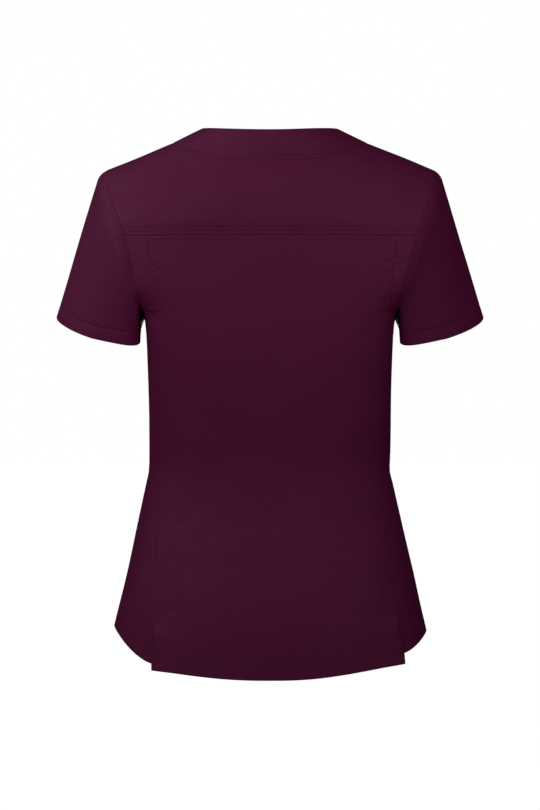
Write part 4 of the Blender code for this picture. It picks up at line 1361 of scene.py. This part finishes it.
def hem(grid, sewing):
    """The turned hem with its stitches."""
    folded_edge(grid, grid.from_bottom, HEM_WIDTH, HEM_GROOVE)
    sewing.row(grid, grid.from_bottom, HEM_WIDTH)


def under_yoke(down):
    """The cloth below the yoke seam, filled by the yoke's turned edge."""
    return dive(down, *UNDER_YOKE_TURN) + lip(down, *UNDER_YOKE_LIP)


def armhole_edge(z, distance, side):
    """The body's cloth beside the armhole, lifted by what lies under it."""
    lift = in_table(SINKING, SIDES[side] + "_lift", z)
    return dive(distance, *ARMHOLE_TURN) + lip(distance, lift, 0, ARMHOLE_LIFT_WIDTH)


def above_underarm(z):
    return smooth_step((z - UNDERARM) / ARM_EASE)


def plain_neck(x):
    """How plain the neck seam is: whole in the middle of the back, and fading beside it."""
    return 1 - smooth_step((np.abs(x) - NECK_SEAM_SHARP) / NECK_SEAM_FADE)


def build_yoke(cloth, thread):
    grid = yoke_grid()
    up = grid.from_bottom
    x = grid.points[..., 0]
    z = grid.points[..., 2]
    grid.rise += dive(up, *YOKE_TURN) + sink(up, 0, YOKE_FALL, YOKE_ALLOWANCE)
    for row, phase in zip(YOKE_ROWS, YOKE_PHASES):
        grid.rise += groove(up, row, YOKE_GROOVE * uneven(x, phase))
    grid.rise += puckers(x, np.abs(up - YOKE_PUCKERS), *PUCKERING["yoke"])
    grid.rise += armhole_edge(z, grid.from_left, -1) + armhole_edge(z, grid.from_right, 1)
    down = grid.from_top
    plain = plain_neck(x)
    grid.rise += plain * (valley(down) + dive(down, CRACK))
    grid.rise += groove(down, TOPSTITCH, NECK_GROOVE + PLAIN_GROOVE * plain, NECK_GROOVE_WIDTH)
    grid.rise += sink(down, NECK_ALLOWANCE, NECK_FALL, NECK_EASE)
    grid.rise += puckers(x, down, *PUCKERING["neck"])
    sewing = Sewing("stitches_yoke")
    for row in YOKE_ROWS:
        sewing.row(grid, up, row)
    sewing.row(grid, down, TOPSTITCH)
    return shell("back_yoke", [grid], cloth), sewing.build(thread)


def build_back_panel(cloth, thread, tack_thread):
    grid = back_panel_grid()
    z = grid.points[..., 2]
    grid.rise += under_yoke(grid.from_top)
    grid.rise += puckers(grid.points[..., 0], grid.from_top, *PUCKERING["below_yoke"])
    edges = {-1: grid.from_left, 1: grid.from_right}
    for side, distance in edges.items():
        shut = smooth_step((z - VENT_TOP[side]) / SHUT_EASE)
        pressed = long_seam(z, distance, PRESSING[side], SEAM_PHASE[side])
        open_edge = dive(distance, EDGE_DEPTH, EDGE_ROUND) + lip(distance, *VENT_LIP)
        grid.rise += shut * pressed + (1 - shut) * open_edge
        grid.rise += groove(distance, PRINCESS_ROW, BACK_GROOVE) * shut
    folded_edge(grid, grid.from_bottom, HEM_WIDTH, HEM_GROOVE)
    sewing = Sewing("stitches_back")
    for distance in edges.values():
        sewing.row(grid, distance, PRINCESS_ROW, 1)
    sewing.row(grid, grid.from_bottom, HEM_WIDTH)
    tacks = Sewing("tacks_back")
    for side, distance in edges.items():
        edge = z[:, EDGE_COLUMN[side]]
        level = np.abs(edge[:, None] - [tack.height for tack in TACKS[side]])
        for tack, row in zip(TACKS[side], level.argmin(axis=0)):
            column = np.abs(distance[row] - tack.inward).argmin()
            point, normal = seam_point(grid, column, tack.height)
            way = np.array([-side * math.cos(tack.lean), 0.0, math.sin(tack.lean)])
            tacks.tack(point + TACK_LIFT * normal, normal, way, tack.length, tack.width)
    return shell("back_panel", [grid], cloth), [sewing.build(thread), tacks.build(tack_thread)]


def build_side_panel(side, cloth, thread):
    back, front = side_panel_grids(side)
    name = "side_panel_" + SIDES[side]
    sewing = Sewing("stitches_side_" + SIDES[side])
    z = back.points[..., 2]
    back.rise += long_seam(z, back.from_left, PRESSING[side], SEAM_PHASE[side])
    back.rise += armhole_edge(z, back.from_right, side) * above_underarm(z)
    back.rise += under_yoke(back.from_top)
    z = front.points[..., 2]
    front.rise += long_seam(z, front.from_right, FRONT_PRESSING, FRONT_PHASE)
    front.rise += dive(front.from_left, *ARMHOLE_TURN) * above_underarm(z)
    front.rise += valley(front.from_top)
    for grid in (back, front):
        hem(grid, sewing)
    return shell(name, [back, front], cloth), sewing.build(thread)


def build_front_panel(cloth, thread):
    lower, left, right = front_panel_grids()
    sewing = Sewing("stitches_front")
    for distance in (lower.from_left, lower.from_right):
        front_seam(lower, distance)
        sewing.row(lower, distance, PRINCESS_ROW, 1)
    hem(lower, sewing)
    for grid in (left, right):
        front_seam(grid, grid.from_right)
        neck = grid.from_left
        grid.rise += valley(neck) + dive(neck, CRACK) + groove(neck, TOPSTITCH)
        grid.rise += puckers(grid.points[..., 2], neck, *PUCKERING["front_neck"])
        grid.rise += valley(grid.from_top)
        sewing.row(grid, grid.from_right, PRINCESS_ROW, 1)
        sewing.row(grid, neck, TOPSTITCH, 1)
    return shell("front_panel", [lower, left, right], cloth), sewing.build(thread)


def build_sleeve(side, cloth, thread):
    grid = sleeve_grid(side)
    up = grid.from_bottom
    under = np.minimum(grid.from_left, grid.from_right)
    grid.rise += sunk(grid.from_top, in_table(SINKING, SIDES[side], grid.points[-1, :, 2]))
    grid.rise += valley(under) + lip(under, UNDERARM_LIP)
    grid.rise += puckers(up, under, *PUCKERING["underarm_" + SIDES[side]])
    folded_edge(grid, up, CUFF_HEM, *CUFF_GROOVE)
    course = np.linspace(0, CUFF_COURSE, grid.points.shape[1])
    grid.rise += puckers(course, np.abs(up - CUFF_HEM), *PUCKERING["cuff"])
    sewing = Sewing("stitches_sleeve_" + SIDES[side])
    sewing.row(grid, up, CUFF_HEM)
    return shell("sleeve_" + SIDES[side], [grid], cloth), sewing.build(thread)


def build_neckband(name, grid, cloth):
    grid.thickness[:] = FOLDED
    grid.points[0] += BAND_TUCK * unit(grid.points[0] - grid.points[1])
    plain = plain_neck(grid.points[..., 0]) if name == "neckband_back" else 1.0
    grid.rise += valley(grid.from_bottom) + plain * dive(grid.from_bottom, CRACK)
    grid.rise += dive(grid.from_top, EDGE_DEPTH, EDGE_ROUND)
    grid.rise += valley(grid.from_left) + valley(grid.from_right)
    return shell(name, [grid], cloth)


# The cut of each piece as it shows: the rectangle that was taken for it, and its own area.
Cut = namedtuple("Cut", "width length area")


def dress():
    cloth = cloth_material()
    thread = thread_material("sewing_thread", THREAD_COLOUR, THREAD_SPECULAR)
    tack_thread = thread_material("tack_thread", TACK_COLOUR, TACK_SPECULAR)
    piece, stitches = build_yoke(cloth, thread)
    piece, stitches = build_back_panel(cloth, thread, tack_thread)
    for side in SIDES:
        for build in (build_side_panel, build_sleeve):
            piece, stitches = build(side, cloth, thread)
        build_neckband("neckband_" + SIDES[side], neckband_front_grid(side), cloth)
    piece, stitches = build_front_panel(cloth, thread)
    build_neckband("neckband_back", neckband_back_grid(), cloth)


# ----------------------------------------------------------------------- floor, light and camera
FLOOR_HEIGHT = -1.40        # the shoulders of a standing wearer are this far above the floor
FLOOR_SIZE = 120.0
FLOOR_COLOUR = (0.86, 0.86, 0.86, 1.0)
WHITE = (1.0, 1.0, 1.0, 1.0)
CAMERA_DISTANCE = 4.0
CAMERA_HEIGHT = -0.3236
METRES_PER_PIXEL = 0.00124  # at the shoulder line's depth
PICTURE_HEIGHT = 810
SENSOR = 36.0               # millimetres, along the picture's longer side
SIGHT = 200.0               # how far the camera sees

# Round softboxes turned towards the top: where they stand, in degrees to the right of the camera
# and above the level, how far away and how wide they are, and how bright a white card at the top
# would look in their light.
LIT_POINT = (0.0, 0.0, -0.25)
Softbox = namedtuple("Softbox", "name azimuth elevation distance size strength")
SOFTBOXES = [Softbox(*row) for row in (
    ("key", -62.0, 22.0, 1.3, 0.7, 0.35),
    ("near_left", -30.0, 22.0, 1.3, 0.7, 0.39),
    ("near_right", 30.0, 22.0, 1.3, 0.7, 0.40),
    ("left_side", -95.0, 22.0, 1.3, 0.7, 0.10),
    ("high_left", -95.0, 55.0, 1.3, 0.7, 0.18),
    ("high_right", 60.0, 55.0, 1.3, 0.7, 0.13),
    ("low_right", 60.0, -10.0, 1.3, 0.7, 0.08),
    ("far_front", 180.0, -2.0, 2.2, 1.0, 1.10),
)]
WORLD_LIGHT = 0.01


def floor():
    """A pale plane that the camera sees and that lights nothing."""
    half = FLOOR_SIZE / 2
    corners = [(-half, -half), (half, -half), (half, half), (-half, half)]
    material, nodes = new_material("pale_floor")
    nodes.surface({"Base Color": FLOOR_COLOUR, "Roughness": 0.9, "Specular IOR Level": 0.1,
                   "Emission Color": WHITE, "Emission Strength": 1.0})
    plane = new_object("floor", [(x, y, FLOOR_HEIGHT) for x, y in corners], [(0, 1, 2, 3)], material)
    plane.visible_diffuse = False
    plane.visible_glossy = False


def softbox(spec):
    light = bpy.data.lights.new(spec.name, "AREA")
    light.shape = "DISK"
    light.size = spec.size
    light.energy = spec.strength * (math.pi * spec.distance) ** 2
    lamp = bpy.data.objects.new(spec.name, light)
    azimuth, elevation = math.radians(spec.azimuth), math.radians(spec.elevation)
    source = Vector((math.cos(elevation) * math.sin(azimuth),
                     -math.cos(elevation) * math.cos(azimuth), math.sin(elevation)))
    lamp.location = Vector(LIT_POINT) + spec.distance * source
    lamp.rotation_euler = source.to_track_quat("Z", "Y").to_euler()
    bpy.context.scene.collection.objects.link(lamp)


def surroundings():
    """A white studio: bright to look at, and a weaker even light."""
    world = bpy.data.worlds.new("studio")
    bpy.context.scene.world = world
    world.use_nodes = True
    nodes = Nodes(world.node_tree)
    seen, shed = (nodes.add("ShaderNodeBackground", {"Color": WHITE, "Strength": strength}).outputs[0]
                  for strength in (1.0, WORLD_LIGHT))
    looked_at = nodes.add("ShaderNodeLightPath").outputs["Is Camera Ray"]
    mix = nodes.add("ShaderNodeMixShader", {0: looked_at, 1: shed, 2: seen})
    nodes.add("ShaderNodeOutputWorld", {"Surface": mix.outputs[0]})


def camera():
    data = bpy.data.cameras.new("camera")
    data.sensor_width = SENSOR
    data.lens = SENSOR * CAMERA_DISTANCE / (METRES_PER_PIXEL * PICTURE_HEIGHT)
    data.clip_end = SIGHT
    viewer = bpy.data.objects.new("camera", data)
    viewer.location = (0.0, -CAMERA_DISTANCE, CAMERA_HEIGHT)
    viewer.rotation_euler = (math.pi / 2, 0.0, 0.0)
    bpy.context.scene.collection.objects.link(viewer)
    bpy.context.scene.camera = viewer


dress()
floor()
for spec in SOFTBOXES:
    softbox(spec)
surroundings()
camera()
bpy.context.scene.view_settings.view_transform = "Standard"
